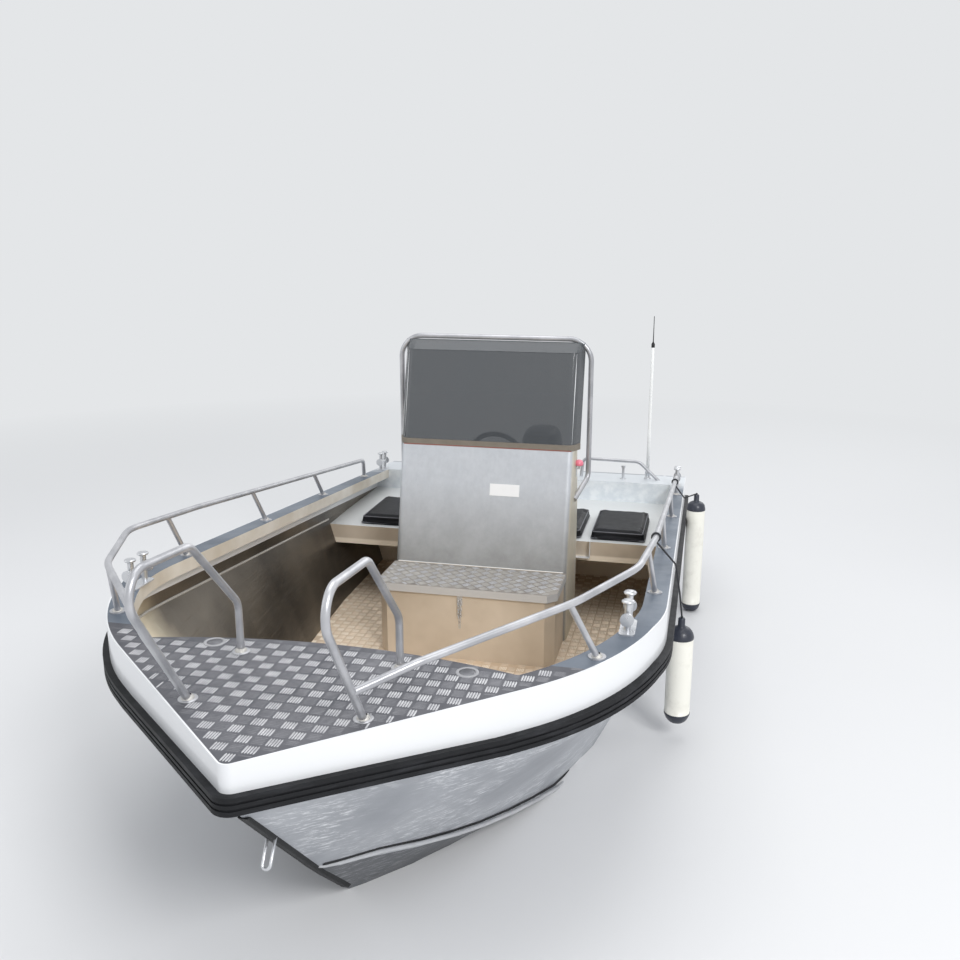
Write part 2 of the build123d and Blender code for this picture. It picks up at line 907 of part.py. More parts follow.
with BuildPart() as bow_rail_starboard:
    add(mirror(bow_rail_port.part, about=Plane.YZ, mode=Mode.PRIVATE))
bow_rail_starboard.part.label = "bow_rail_starboard"
export_step(bow_rail_starboard.part, "parts/bow_rail_starboard.step")

# Posts under the side rails, each leaning forward from its foot to meet the tube
Post = namedtuple("Post", "foot_inset foot_aft head_inset head_aft head_rise")
posts = [
    Post(48, 900, 19, 757, 230),
    Post(60, 1652, 79, 1480, 216),
    Post(56, 2465, 64, 2310, 184),
    Post(50, 3270, 55, 3125, 154),
]
with BuildPart() as rail_posts:
    for post in posts:
        base = deck_point(post.foot_inset, post.foot_aft)
        aim = Vertex(*deck_point(post.head_inset, post.head_aft, post.head_rise))
        head = side_rail.distance_to_with_closest_points(aim)[1]
        add(strut(base - (head - base) * 0.2, head, post_tube))
    add(below_deck, mode=Mode.SUBTRACT)
    add(bow_rail_port.part, mode=Mode.SUBTRACT)
    for post in posts:
        add(foot(deck_point(post.foot_inset, post.foot_aft)))
    mirror(about=Plane.YZ)
rail_posts.part.label = "rail_posts"
export_step(rail_posts.part, "parts/rail_posts.step")

# Stern rails beside the motor well
stern_rail_aft = hull_length - 240
stern_bends = [
    Bend(130, stern_rail_aft, -51, 0),
    Bend(320, stern_rail_aft, 124, 70),
    Bend(705, stern_rail_aft, 131, 40),
    Bend(725, stern_rail_aft, -51, 0),
]
with BuildPart() as stern_rail_port:
    add(tube(rail_line(stern_bends), stern_tube))
    add(below_deck, mode=Mode.SUBTRACT)
stern_rail_port.part.label = "stern_rail_port"
export_step(stern_rail_port.part, "parts/stern_rail_port.step")

with BuildPart() as stern_rail_starboard:
    add(mirror(stern_rail_port.part, about=Plane.YZ, mode=Mode.PRIVATE))
stern_rail_starboard.part.label = "stern_rail_starboard"
export_step(stern_rail_starboard.part, "parts/stern_rail_starboard.step")


# Double bollards: two posts on a plate, crossed by a bar with round ends
def bollard(side, inset, distance):
    spot = deck_point(inset, distance)
    seat = deck_plane(Vector(side * spot.X, spot.Y, spot.Z))
    width, length, thick = bollard_base
    with BuildPart() as cleat:
        with BuildSketch(seat):
            RectangleRounded(width, length, width / 4)
        extrude(amount=thick)
        with BuildSketch(seat.offset(thick)):
            with GridLocations(0, bollard_spacing, 1, 2):
                Circle(bollard_post)
        extrude(amount=bollard_height - thick)
        bar = Plane(origin=seat.from_local_coords((0, -bollard_spacing / 2 - 30, bollard_bar_height)),
                    x_dir=(1, 0, 0), z_dir=seat.y_dir)
        with BuildSketch(bar):
            Circle(bollard_bar)
        extrude(amount=bollard_spacing + 60)
        with BuildSketch(bar, bar.offset(bollard_spacing + 60 - bollard_disc_thick)):
            Circle(bollard_disc)
        extrude(amount=bollard_disc_thick)
    return cleat.part


Bollard = namedtuple("Bollard", "name side inset aft")
bollard_stern = hull_length - 420
bollards = [
    Bollard("bollard_fore_port", 1, 83, 1166),
    Bollard("bollard_fore_starboard", -1, 83, 1166),
    Bollard("bollard_aft_port", 1, 54, bollard_stern),
    Bollard("bollard_aft_starboard", -1, 54, bollard_stern),
]
for place in bollards:
    with BuildPart() as cleat:
        add(bollard(place.side, place.inset, place.aft))
    cleat.part.label = place.name
    export_step(cleat.part, f"parts/{place.name}.step")

# Stern post: a mushroom head on a round foot
post_foot = (22, 4)
post_shank = (9, 76)
post_head = (15, 12)
with BuildPart() as stern_post:
    seat = deck_plane(deck_point(426, hull_length - 255))
    raised = 0
    for radius, length in (post_foot, post_shank, post_head):
        with BuildSketch(seat.offset(raised)):
            Circle(radius)
        extrude(amount=length)
        raised += length
stern_post.part.label = "stern_post"
export_step(stern_post.part, "parts/stern_post.step")

# Antenna: a tapered tube with a ball at its head and a thin whip above
antenna_foot = 24
antenna_foot_thick = 10
antenna_low = 12
antenna_high = 7
antenna_top = 1620
whip_radius = 2.5
whip_length = 190
antenna_seat = deck_plane(deck_point(262, hull_length - 190))
antenna_axis = Location((antenna_seat.origin.X, antenna_seat.origin.Y, 0))
with BuildPart() as antenna:
    with BuildSketch(antenna_seat):
        Circle(antenna_foot)
    extrude(amount=antenna_foot_thick)
    with BuildSketch(Plane(antenna_axis).offset(antenna_seat.origin.Z + antenna_foot_thick / 2)):
        Circle(antenna_low)
    with BuildSketch(Plane(antenna_axis).offset(antenna_top)):
        Circle(antenna_high)
    loft()
    with Locations(Plane(antenna_axis).offset(antenna_top)):
        Sphere(antenna_low)
    with BuildSketch(Plane(antenna_axis).offset(antenna_top)):
        Circle(whip_radius)
    extrude(amount=whip_length)
antenna.part.label = "antenna"
export_step(antenna.part, "parts/antenna.step")

# Side light: a plate on the console's side, an arm, and a ball on its stalk
light_height = 1040
light_plate = (24, 60, 4)
light_arm = (24, 16, 6)
light_reach = 18
light_stalk = 5
light_ball = 15
with BuildPart() as side_light_port:
    light_aft = console_aft - 90
    width, height, thick = light_plate
    with BuildSketch(Plane.YZ.offset(console_half)):
        with Locations((aft(light_aft), light_height)):
            RectangleRounded(width, height, width / 5)
    extrude(amount=thick)
    reach, breadth, depth = light_arm
    arm_low = light_height + breadth
    add(block(console_half, console_half + reach, light_aft - breadth / 2, light_aft + breadth / 2,
              arm_low, arm_low + depth))
    with BuildSketch(Plane.XY.offset(arm_low + depth)):
        with Locations((console_half + light_reach, aft(light_aft))):
            Circle(light_stalk)
    extrude(amount=2 * light_ball)
    with Locations((console_half + light_reach, aft(light_aft), arm_low + depth + 2 * light_ball)):
        Sphere(light_ball)
side_light_port.part.label = "side_light_port"
export_step(side_light_port.part, "parts/side_light_port.step")

# Bow eye: a U-bolt through the stem below the rubber
with BuildPart() as bow_eye:
    eye_route = [
        (-eye_half, aft(285), deck_height - 360),
        (-eye_half, aft(235), deck_height - 495),
        (0, aft(228), deck_height - 511),
        (eye_half, aft(235), deck_height - 495),
        (eye_half, aft(285), deck_height - 360),
    ]
    add(tube(bent_line(eye_route, eye_half / 2), eye_rod))
    add(outer_hull, mode=Mode.SUBTRACT)
bow_eye.part.label = "bow_eye"
export_step(bow_eye.part, "parts/bow_eye.step")

# Port fenders: a round white body with an eye on top, each on its own line from the side rail
Fender = namedtuple("Fender", "name x aft low high radius tie_aft over_aft")
beside_rubber = half_beam + rubber_width + lid_gap
fenders = [
    Fender("fore", beside_rubber + 22, 2240, 95, 625, 60, 1760, 2120),
    Fender("aft", beside_rubber + 57, 3940, 0, 770, 57, 3735, 3860),
]
fender_eye = 16
fender_eye_length = 44
fender_round = 38
line_radius = 4
line_clear = 8
line_bend = 12
for fender in fenders:
    with BuildPart() as float_body:
        flat = fender.radius - fender_round
        shoulder = fender.high - fender_eye_length
        with BuildSketch(Plane(origin=(fender.x, aft(fender.aft), 0), x_dir=(1, 0, 0), z_dir=(0, -1, 0))):
            with BuildLine():
                foot_arc = CenterArc((flat, fender.low + fender_round), fender_round, -90, 90)
                head_arc = CenterArc((flat, shoulder - fender_round), fender_round, 0, 90)
                Polyline(
                    foot_arc @ 0,
                    (0, fender.low),
                    (0, fender.high),
                    (fender_eye, fender.high),
                    (fender_eye, shoulder),
                    head_arc @ 1,
                )
                Line(foot_arc @ 1, head_arc @ 0)
            make_face()
        revolve(axis=Axis((fender.x, aft(fender.aft), 0), (0, 0, 1)))
    float_body.part.label = f"fender_{fender.name}"
    export_step(float_body.part, f"parts/fender_{fender.name}.step")
    over = (half_beam + line_clear, aft(fender.over_aft), sheer(fender.over_aft) + line_clear)
    tie = Vertex(half_beam, aft(fender.tie_aft), deck_height)
    knot = side_rail.distance_to_with_closest_points(tie)[1]
    along = side_rail % side_rail.param_at_point(knot)
    start = knot - Vector(0, 0, rail_tube + 1.2 * line_radius)
    outside = max(half_beam + rubber_width + line_clear, fender.x - fender.radius)
    beside = (outside, aft(fender.over_aft) + line_clear, sheer(fender.over_aft) - side_band + line_clear)
    route = [start, over, (fender.x, aft(fender.aft), fender.high + line_radius)]
    if fender.high < sheer(fender.aft) - side_band:
        route.insert(2, beside)
    with BuildPart() as fender_line:
        with Locations(Plane(origin=knot, z_dir=along)):
            Cylinder(rail_tube + 2 * line_radius, 2 * line_radius)
            Cylinder(rail_tube + lid_gap, 4 * line_radius, mode=Mode.SUBTRACT)
        add(tube(bent_line(route, line_bend), line_radius))
        with Locations((fender.x, aft(fender.aft), fender.high + line_radius)):
            Sphere(1.5 * line_radius)
        add(block(fender.x - fender_eye, fender.x + fender_eye, fender.aft - fender_eye,
                  fender.aft + fender_eye, fender.high - fender_eye, fender.high), mode=Mode.SUBTRACT)
    fender_line.part.label = f"fender_line_{fender.name}"
    export_step(fender_line.part, f"parts/fender_line_{fender.name}.step")

# Outboard motor: clamp bracket on the transom, swivel, leg with gearcase, cowl and propeller
tilt_y = aft(hull_length + tilt_aft)
steer_y = aft(hull_length + steer_aft)
leg_y = aft(hull_length + leg_aft)
notch_y = aft(hull_length)


def pin_solid(radius, half_width):
    with BuildPart(mode=Mode.PRIVATE) as pin:
        with BuildSketch(Plane.YZ.offset(-half_width)):
            with Locations((tilt_y, tilt_height)):
                Circle(radius)
        extrude(amount=2 * half_width)
    return pin.part


def upright(radius, low, high):
    with BuildPart(mode=Mode.PRIVATE) as column:
        with BuildSketch(Plane.XY.offset(low)):
            with Locations((0, steer_y)):
                Circle(radius)
        extrude(amount=high - low)
    return column.part


with BuildPart() as engine_bracket:
    add(block(-bracket_half - ear_thick, bracket_half + ear_thick, hull_length, hull_length + clamp_thick,
              clamp_low, notch_height - ear_thick))
    with BuildSketch(Plane.YZ.offset(bracket_half)):
        with BuildLine():
            Polyline(
                (notch_y, clamp_low),
                (notch_y, notch_height),
                (notch_y - transom_board, notch_height),
                (notch_y - transom_board, notch_height + ear_thick),
                (notch_y, tilt_height + ear_round),
                (tilt_y + ear_round, tilt_height + ear_round),
                (tilt_y + ear_round, tilt_height - ear_round),
                (notch_y + 2 * clamp_thick, clamp_low),
                close=True,
            )
        make_face()
    extrude(amount=ear_thick)
    mirror(about=Plane.YZ)
    add(pin_solid(tilt_pin, bracket_half + ear_thick))
engine_bracket.part.label = "engine_bracket"
export_step(engine_bracket.part, "parts/engine_bracket.step")

with BuildPart() as swivel_bracket:
    add(pin_solid(swivel_knuckle, bracket_half - side_play))
    add(block(-swivel_web / 2, swivel_web / 2, hull_length + tilt_aft, hull_length + steer_aft,
              tilt_height - swivel_web, swivel_high))
    add(upright(swivel_radius, swivel_low, swivel_high))
    add(pin_solid(tilt_pin + running_gap, bracket_half), mode=Mode.SUBTRACT)
    add(upright(king_pin + running_gap, swivel_low - 1, swivel_high + 1), mode=Mode.SUBTRACT)
swivel_bracket.part.label = "swivel_bracket"
export_step(swivel_bracket.part, "parts/swivel_bracket.step")

# Leg: tapered mid section, two yokes on the king pin, plate, strut, gearcase and skeg
gearcase_tail = leg_y + tail_length
with BuildPart() as engine_leg:
    with BuildSketch(Plane.XY.offset(cowl_bottom)):
        with Locations((0, leg_y)):
            RectangleRounded(mid_width, mid_length, mid_round)
    with BuildSketch(Plane.XY.offset(anti_vent_height)):
        with Locations((0, leg_y)):
            RectangleRounded(strut_width, mid_length, strut_width / 2 - 1)
    loft(ruled=True)
    for yoke_low in (swivel_high + yoke_gap, swivel_low - yoke_gap - yoke_thick):
        with BuildSketch(Plane.XY.offset(yoke_low)):
            with Locations((0, (steer_y + leg_y) / 2)):
                SlotCenterToCenter(leg_y - steer_y, yoke_width, rotation=90)
        extrude(amount=yoke_thick)
    add(upright(king_pin, swivel_low - yoke_thick, swivel_high + yoke_thick))
    with BuildSketch(Plane.XY.offset(anti_vent_height - vent_plate_thick)):
        with Locations((0, leg_y + vent_plate_length / 6)):
            RectangleRounded(vent_plate_width, vent_plate_length, vent_plate_width / 3)
    extrude(amount=vent_plate_thick)
    with BuildSketch(Plane.XY.offset(gearcase_height)):
        with Locations((0, leg_y)):
            SlotOverall(strut_length, strut_width / 2, rotation=90)
    extrude(amount=anti_vent_height - gearcase_height - vent_plate_thick)
    with BuildSketch(Plane.YZ):
        with BuildLine():
            ball_y = leg_y - nose_length + nose_ball_radius
            nose_ball = CenterArc((ball_y, gearcase_height), nose_ball_radius, 90, 90)
            Polyline(
                nose_ball @ 0,
                (leg_y, gearcase_height + gearcase_radius),
                (gearcase_tail, gearcase_height + hub_radius),
                (gearcase_tail, gearcase_height),
                nose_ball @ 1,
            )
        make_face()
    revolve(axis=Axis((0, 0, gearcase_height), (0, 1, 0)))
    with BuildSketch(Plane.YZ.offset(-skeg_thick / 2)):
        with BuildLine():
            Polyline(
                (leg_y - tail_length / 2, gearcase_height),
                (gearcase_tail - skeg_thick, gearcase_height),
                (gearcase_tail - 2 * skeg_thick, gearcase_height - skeg_depth),
                (leg_y + skeg_thick, gearcase_height - skeg_depth),
                close=True,
            )
        make_face()
    extrude(amount=skeg_thick)
    with BuildSketch(Plane.XZ.offset(-gearcase_tail)):
        with Locations((0, gearcase_height)):
            Circle(prop_shaft)
    extrude(amount=-hub_length)
engine_leg.part.label = "engine_leg"
export_step(engine_leg.part, "parts/engine_leg.step")

# Cowl: four rounded sections from the lower pan up to the crowned top
CowlSection = namedtuple("CowlSection", "height width length round shift")
cowl_sections = [
    CowlSection(cowl_bottom, 270, 420, 80, 0),
    CowlSection(560, 300, 450, 100, 6),
    CowlSection(760, 296, 436, 100, 12),
    CowlSection(880, 262, 380, 90, 12),
    CowlSection(cowl_top, 190, 290, 70, 8),
]
with BuildPart() as engine_cowl:
    for ring in cowl_sections:
        with BuildSketch(Plane.XY.offset(ring.height)):
            with Locations((0, aft(hull_length + cowl_aft + ring.shift))):
                RectangleRounded(ring.width, ring.length, ring.round)
    loft(ruled=True)
engine_cowl.part.label = "engine_cowl"
export_step(engine_cowl.part, "parts/engine_cowl.step")

# Propeller: hub and three pitched blades, each lofted through chords that twist with the radius
Blade = namedtuple("Blade", "radius chord thick")
blade_sections = [
    Blade(30, 62, 9),
    Blade(75, 104, 7),
    Blade(120, 112, 5),
    Blade(propeller_radius, 58, 3),
]
propeller_y = gearcase_tail + lid_gap
blade_y = propeller_y + hub_length / 2
with BuildPart() as propeller:
    with BuildSketch(Plane.XZ.offset(-propeller_y)):
        with Locations((0, gearcase_height)):
            Circle(hub_radius)
    extrude(amount=-hub_length)
    for turn in (0, 120, 240):
        out = Vector(sin(radians(turn)), 0, cos(radians(turn)))
        around = Vector(cos(radians(turn)), 0, -sin(radians(turn)))
        with BuildPart(mode=Mode.PRIVATE) as blade:
            for part in blade_sections:
                pitch = atan2(propeller_pitch, 2 * pi * part.radius)
                chord = around * cos(pitch) + Vector(0, sin(pitch), 0)
                with BuildSketch(Plane(origin=Vector(0, blade_y, gearcase_height) + out * part.radius,
                                       x_dir=chord, z_dir=out)):
                    Rectangle(part.chord, part.thick)
            loft(ruled=True)
        add(blade.part)
    with BuildSketch(Plane.XZ.offset(-propeller_y)):
        with Locations((0, gearcase_height)):
            Circle(prop_shaft + running_gap)
    extrude(amount=-hub_length, mode=Mode.SUBTRACT)
propeller.part.label = "propeller"
export_step(propeller.part, "parts/propeller.step")
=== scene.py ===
from collections import namedtuple
from math import atan2, ceil, copysign, cos, hypot, pi, radians, sin, tan

import bpy
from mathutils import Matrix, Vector
from mathutils.bvhtree import BVHTree


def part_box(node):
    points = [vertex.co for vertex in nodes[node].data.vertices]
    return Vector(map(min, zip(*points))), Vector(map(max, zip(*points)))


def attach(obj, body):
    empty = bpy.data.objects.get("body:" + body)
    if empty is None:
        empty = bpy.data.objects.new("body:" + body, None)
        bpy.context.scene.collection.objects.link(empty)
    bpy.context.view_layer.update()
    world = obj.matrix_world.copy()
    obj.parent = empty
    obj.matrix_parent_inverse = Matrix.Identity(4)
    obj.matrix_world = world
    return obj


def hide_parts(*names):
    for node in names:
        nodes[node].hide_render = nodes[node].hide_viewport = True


# The looks of an open aluminium work boat with a centre console. Metres, bow towards -Y, port +X,
# heights above the waterline, which is the floor.

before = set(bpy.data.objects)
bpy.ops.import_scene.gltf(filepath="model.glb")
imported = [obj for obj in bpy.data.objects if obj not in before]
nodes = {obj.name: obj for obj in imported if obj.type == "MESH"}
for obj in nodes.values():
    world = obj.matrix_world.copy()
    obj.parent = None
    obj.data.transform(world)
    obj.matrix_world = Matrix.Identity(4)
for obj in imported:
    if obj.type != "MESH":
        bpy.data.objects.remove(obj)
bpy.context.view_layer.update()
scene = bpy.context.scene


# Camera: the photograph's place, direction and lens
camera_place = Vector((1.173, -4.458, 2.352))
camera_yaw = radians(-13.05)
camera_pitch = radians(14.3)
camera_data = bpy.data.cameras.new("photo_camera")
camera_data.lens = 36.375
camera_data.sensor_width = 36
camera = bpy.data.objects.new("photo_camera", camera_data)
camera.location = camera_place
look = Vector((sin(camera_yaw) * cos(camera_pitch), cos(camera_yaw) * cos(camera_pitch), -sin(camera_pitch)))
camera.rotation_euler = look.to_track_quat("-Z", "Y").to_euler()
scene.collection.objects.link(camera)
scene.camera = camera
scene.view_settings.view_transform = "Standard"


# Colour as a paint chip reads, 0 to 255, turned into linear light
def chip(red, green, blue):
    def linear(value):
        value = value / 255
        return value / 12.92 if value <= 0.04045 else ((value + 0.055) / 1.055) ** 2.4

    return (linear(red), linear(green), linear(blue), 1)


class Signal:
    """One socket in a finish. Arithmetic on it adds Math nodes."""

    def __init__(self, finish, socket):
        self.finish = finish
        self.socket = socket

    def math(self, operation, first, second):
        return self.finish.node("Math", {"operation": operation}, {0: first, 1: second})

    def __add__(self, other):
        return self.math("ADD", self, other)

    def __radd__(self, other):
        return self.math("ADD", other, self)

    def __sub__(self, other):
        return self.math("SUBTRACT", self, other)

    def __rsub__(self, other):
        return self.math("SUBTRACT", other, self)

    def __mul__(self, other):
        return self.math("MULTIPLY", self, other)

    def __gt__(self, other):
        return self.math("GREATER_THAN", self, other)

    def __lt__(self, other):
        return self.math("LESS_THAN", self, other)


class Finish:
    """A material whose colour, roughness and relief come from nodes in the object's own coordinates."""

    def __init__(self, name, metallic=0.0, coat=0.0, specular=0.5):
        self.material = bpy.data.materials.new(name)
        self.material.use_nodes = True
        self.tree = self.material.node_tree
        self.shader = self.tree.nodes["Principled BSDF"]
        self.shader.inputs["Metallic"].default_value = metallic
        self.shader.inputs["Coat Weight"].default_value = coat
        self.shader.inputs["Specular IOR Level"].default_value = specular
        self.place = self.node("TexCoord", {}, {}, "Object")

    def node(self, kind, settings, inputs, output=0):
        made = self.tree.nodes.new("ShaderNode" + kind)
        for name, value in settings.items():
            if name == "stops":
                self.set_ramp(made.color_ramp, value)
            else:
                setattr(made, name, value)
        for name, value in inputs.items():
            if isinstance(value, Signal):
                self.tree.links.new(value.socket, made.inputs[name])
            else:
                made.inputs[name].default_value = value
        return Signal(self, made.outputs[output])

    def set_ramp(self, ramp, stops):
        while len(ramp.elements) < len(stops):
            ramp.elements.new(1)
        for element, (position, level) in zip(ramp.elements, stops):
            element.position = position
            element.color = (level, level, level, 1)

    def stretched(self, across, along, up):
        return self.node("VectorMath", {"operation": "MULTIPLY"}, {0: self.place, 1: (across, along, up)})

    def noise(self, scale, detail=3, rough=0.55, place=None):
        inputs = {"Vector": place or self.place, "Scale": scale, "Detail": detail, "Roughness": rough}
        return self.node("TexNoise", {}, inputs)

    def ramp(self, signal, *stops):
        return self.node("ValToRGB", {"stops": stops}, {"Fac": signal})

    def span(self, signal, start, end):
        """Runs from 0 at start to 1 at end, and stays there."""
        return self.node("MapRange", {}, {0: signal, 1: start, 2: end})

    def blend(self, share, low, high):
        return self.node("Mix", {"data_type": "RGBA"}, {0: share, 6: low, 7: high}, 2)

    def axis(self, vector, name):
        return self.node("SeparateXYZ", {}, {0: vector}, name)

    def normal(self, name):
        facing = self.node("NewGeometry", {}, {}, "Normal")
        return self.axis(facing, name)

    def colour(self, value):
        self.feed("Base Color", value)

    def rough(self, value):
        self.feed("Roughness", value)

    def feed(self, name, value):
        if isinstance(value, Signal):
            self.tree.links.new(value.socket, self.shader.inputs[name])
        else:
            self.shader.inputs[name].default_value = value

    def relief(self, height, depth):
        bump = self.node("Bump", {}, {"Height": height, "Distance": depth}, "Normal")
        self.feed("Normal", bump)


# Places where a finish changes: the chine falls from the bow along a slack line, under which the hull is
# painted dark as painted shade, the quarters' decks are brighter, the plate under the bench's lip is painted
# paler as painted bounce light, and the side light's lens starts above its foot
chine_bow, chine_side = -1.83, -0.70
chine_top, chine_fall, chine_sag = 0.298, 0.313, 0.085
quarter_start, quarter_end = 1.8, 2.0
riser_front, riser_top = 0.96, 0.485
change_width = 0.005
lens_foot = 1.078


# Finishes, one function each
def bare_aluminium():
    finish = Finish("bare_aluminium")
    cloud = finish.ramp(finish.noise(2.2, 4), (0.35, 0), (0.68, 1))
    base = finish.blend(cloud, chip(150, 153, 159), chip(180, 183, 188))
    # Below the chine line the plate is painted near black: painted shade on the bottom, which faces away from
    # the light
    along = finish.span(finish.axis(finish.place, "Y"), chine_bow, chine_side)
    chine_height = chine_top - along * chine_fall - along * (1 - along) * chine_sag
    painted_shade_below_chine = finish.axis(finish.place, "Z") < chine_height
    base = finish.blend(painted_shade_below_chine * 0.8, base, chip(46, 49, 54))
    # Inner faces are painted tan: darker amidships as painted shade, pale cream towards the bow as a painted
    # sunlit patch
    inward = (finish.axis(finish.place, "X") * finish.normal("X")) < -0.02
    tan_cloud = finish.ramp(finish.noise(1.6, 3), (0.35, 0), (0.7, 1))
    shade = finish.blend(tan_cloud, chip(74, 70, 65), chip(124, 116, 104))
    ahead = finish.axis(finish.place, "Y") * -1 - 0.5
    painted_sunlight_ahead = finish.ramp(ahead + finish.noise(2.6, 3) * 0.4, (0.6, 0), (0.95, 1))
    warm = finish.blend(painted_sunlight_ahead, shade, chip(250, 236, 206))
    scratch_place = finish.stretched(9, 1.1, 34)
    scratch = finish.ramp(finish.noise(3.0, 6, 0.72, scratch_place), (0.5, 0), (0.64, 1))
    patch = finish.ramp(finish.noise(2.3, 3, 0.6), (0.44, 0), (0.56, 1))
    marks = scratch * patch * (1 - painted_shade_below_chine * 0.7)
    outside = finish.blend(marks, base, chip(228, 229, 232))
    finish.colour(finish.blend(inward, outside, warm))
    finish.feed("Metallic", 0.15 + inward * (1 - painted_sunlight_ahead) * 0.55)
    finish.rough(0.36 - inward * 0.14 + finish.noise(9, 4) * 0.2 + marks * 0.2)
    finish.relief(finish.noise(34, 4) + scratch * 0.4, 0.0006)
    return finish.material


def side_deck_plate():
    finish = Finish("side_deck_plate", metallic=0.3)
    cloud = finish.ramp(finish.noise(3.1, 4), (0.35, 0), (0.7, 1))
    top = finish.blend(cloud, chip(92, 101, 113), chip(122, 130, 141))
    quarter = finish.span(finish.axis(finish.place, "Y"), quarter_start, quarter_end)
    top = finish.blend(quarter, top, chip(208, 212, 216))
    warm = finish.blend(cloud, chip(208, 198, 182), chip(236, 231, 222))
    upright = finish.ramp(finish.normal("Z"), (0.5, 0), (0.8, 1))
    stern = finish.ramp(finish.normal("Y") * -1, (0.5, 0), (0.8, 1))
    mottle = finish.ramp(finish.noise(14, 4, 0.6), (0.4, 0), (0.62, 1))
    sides = finish.blend(stern, warm, finish.blend(mottle, chip(226, 232, 237), chip(242, 246, 249)))
    finish.colour(finish.blend(upright, sides, top))
    finish.rough(0.34 + finish.noise(12, 4) * 0.25)
    finish.relief(finish.noise(60, 3), 0.0003)
    return finish.material


def interior_plate():
    finish = Finish("interior_plate", metallic=0.25)
    # Upright faces are painted warm tan, a painted warm reflection; faces turned up are grey
    cloud = finish.ramp(finish.noise(2.0, 4), (0.35, 0), (0.7, 1))
    upright = finish.blend(cloud, chip(198, 184, 166), chip(226, 213, 196))
    aft, height = finish.axis(finish.place, "Y"), finish.axis(finish.place, "Z")
    abaft = finish.span(aft, riser_front - change_width, riser_front + change_width)
    below = finish.span(height, riser_top + change_width, riser_top - change_width)
    # Aft of the bench's front and below its lip the plate is painted paler: painted bounce light under the
    # bench
    upright = finish.blend(abaft * below, upright, chip(252, 240, 222))
    facing_up = finish.ramp(finish.normal("Z"), (0.5, 0), (0.8, 1))
    finish.colour(finish.blend(facing_up, upright, chip(214, 216, 216)))
    streak = finish.noise(5, 4, 0.6, finish.stretched(9, 9, 1))
    finish.rough(0.38 + streak * 0.25)
    finish.relief(finish.noise(45, 3), 0.0003)
    return finish.material


def white_paint():
    finish = Finish("white_paint", coat=0.4)
    cloud = finish.noise(1.4, 3)
    finish.colour(finish.blend(cloud, chip(222, 223, 226), chip(234, 235, 236)))
    finish.rough(0.26 + finish.noise(18, 3) * 0.1)
    finish.relief(finish.noise(3, 2), 0.0006)
    return finish.material


def black_rubber():
    finish = Finish("black_rubber", specular=0.3)
    scuff = finish.ramp(finish.noise(5, 5, 0.65, finish.stretched(1, 1, 6)), (0.5, 0), (0.75, 1))
    finish.colour(finish.blend(scuff, chip(20, 21, 24), chip(48, 49, 53)))
    finish.rough(0.5 + finish.noise(20, 3) * 0.25)
    finish.relief(finish.noise(160, 3), 0.0004)
    return finish.material


def tread_ground(name, low, high, edge):
    finish = Finish(name, metallic=0.4)
    dirt = finish.ramp(finish.noise(4.5, 5, 0.65), (0.35, 0), (0.7, 1))
    upright = finish.ramp(finish.normal("Z"), (0.4, 1), (0.7, 0))
    finish.colour(finish.blend(upright, finish.blend(dirt, low, high), edge))
    finish.rough(0.42 + finish.noise(30, 3) * 0.22)
    finish.relief(finish.noise(220, 3), 0.0003)
    return finish.material


def tread_bar(name, low, high, metallic):
    finish = Finish(name, metallic=metallic)
    worn = finish.ramp(finish.noise(26, 4, 0.6), (0.3, 0), (0.7, 1))
    finish.colour(finish.blend(worn, low, high))
    finish.rough(0.3 + finish.noise(60, 2) * 0.2)
    finish.relief(finish.noise(400, 2), 0.0002)
    return finish.material


def brushed_panel():
    finish = Finish("brushed_panel", metallic=0.3)
    height = finish.axis(finish.place, "Z")
    fade = finish.ramp(height, (0.5, 0), (0.98, 1))
    panel = finish.blend(fade, chip(142, 141, 138), chip(198, 202, 208))
    cheek = finish.ramp(finish.normal("X"), (0.7, 0), (0.95, 1))
    panel = finish.blend(cheek, panel, chip(216, 208, 188))
    mottle = finish.ramp(finish.noise(7, 5, 0.7), (0.38, 0), (0.66, 1))
    worn = finish.blend(mottle * 0.18, panel, chip(230, 232, 236))
    blotch = finish.ramp(finish.noise(26, 4, 0.7), (0.42, 0), (0.6, 1))
    worn = finish.blend(blotch * 0.1, worn, chip(150, 153, 160))
    brushed = finish.noise(60, 3, 0.6, finish.stretched(1, 1, 0.12))
    finish.colour(finish.blend(brushed * 0.14, worn, chip(140, 142, 146)))
    finish.rough(0.34 + brushed * 0.2)
    finish.relief(brushed, 0.0003)
    return finish.material


def rail_tube():
    finish = Finish("rail_tube", metallic=0.6)
    cloud = finish.ramp(finish.noise(7, 4), (0.35, 0), (0.7, 1))
    finish.colour(finish.blend(cloud, chip(168, 169, 173), chip(200, 200, 203)))
    finish.rough(0.24 + finish.noise(40, 3) * 0.2)
    finish.relief(finish.noise(120, 3), 0.0002)
    return finish.material


def bright_steel():
    finish = Finish("bright_steel", metallic=0.8)
    finish.colour(finish.blend(finish.noise(14, 3), chip(190, 192, 196), chip(222, 223, 225)))
    finish.rough(0.2 + finish.noise(40, 3) * 0.2)
    finish.relief(finish.noise(90, 3), 0.0002)
    return finish.material


def black_vinyl():
    finish = Finish("black_vinyl", specular=0.16)
    dust = finish.ramp(finish.noise(6, 4), (0.4, 0), (0.75, 1))
    finish.colour(finish.blend(dust, chip(19, 20, 23), chip(31, 32, 37)))
    finish.rough(0.36 + finish.noise(24, 3) * 0.16)
    grain = finish.node("TexVoronoi", {"feature": "F1"}, {"Vector": finish.place, "Scale": 420.0}, "Distance")
    finish.relief(grain + finish.noise(60, 3) * 0.6, 0.0004)
    return finish.material


def tinted_screen():
    finish = Finish("tinted_screen", coat=0.1, specular=0.35)
    smear = finish.noise(5, 4, 0.6, finish.stretched(1, 1, 0.5))
    finish.colour(finish.blend(smear, chip(62, 65, 69), chip(82, 86, 90)))
    finish.rough(0.06 + smear * 0.08)
    finish.feed("Alpha", 0.68 + smear * 0.14)
    return finish.material


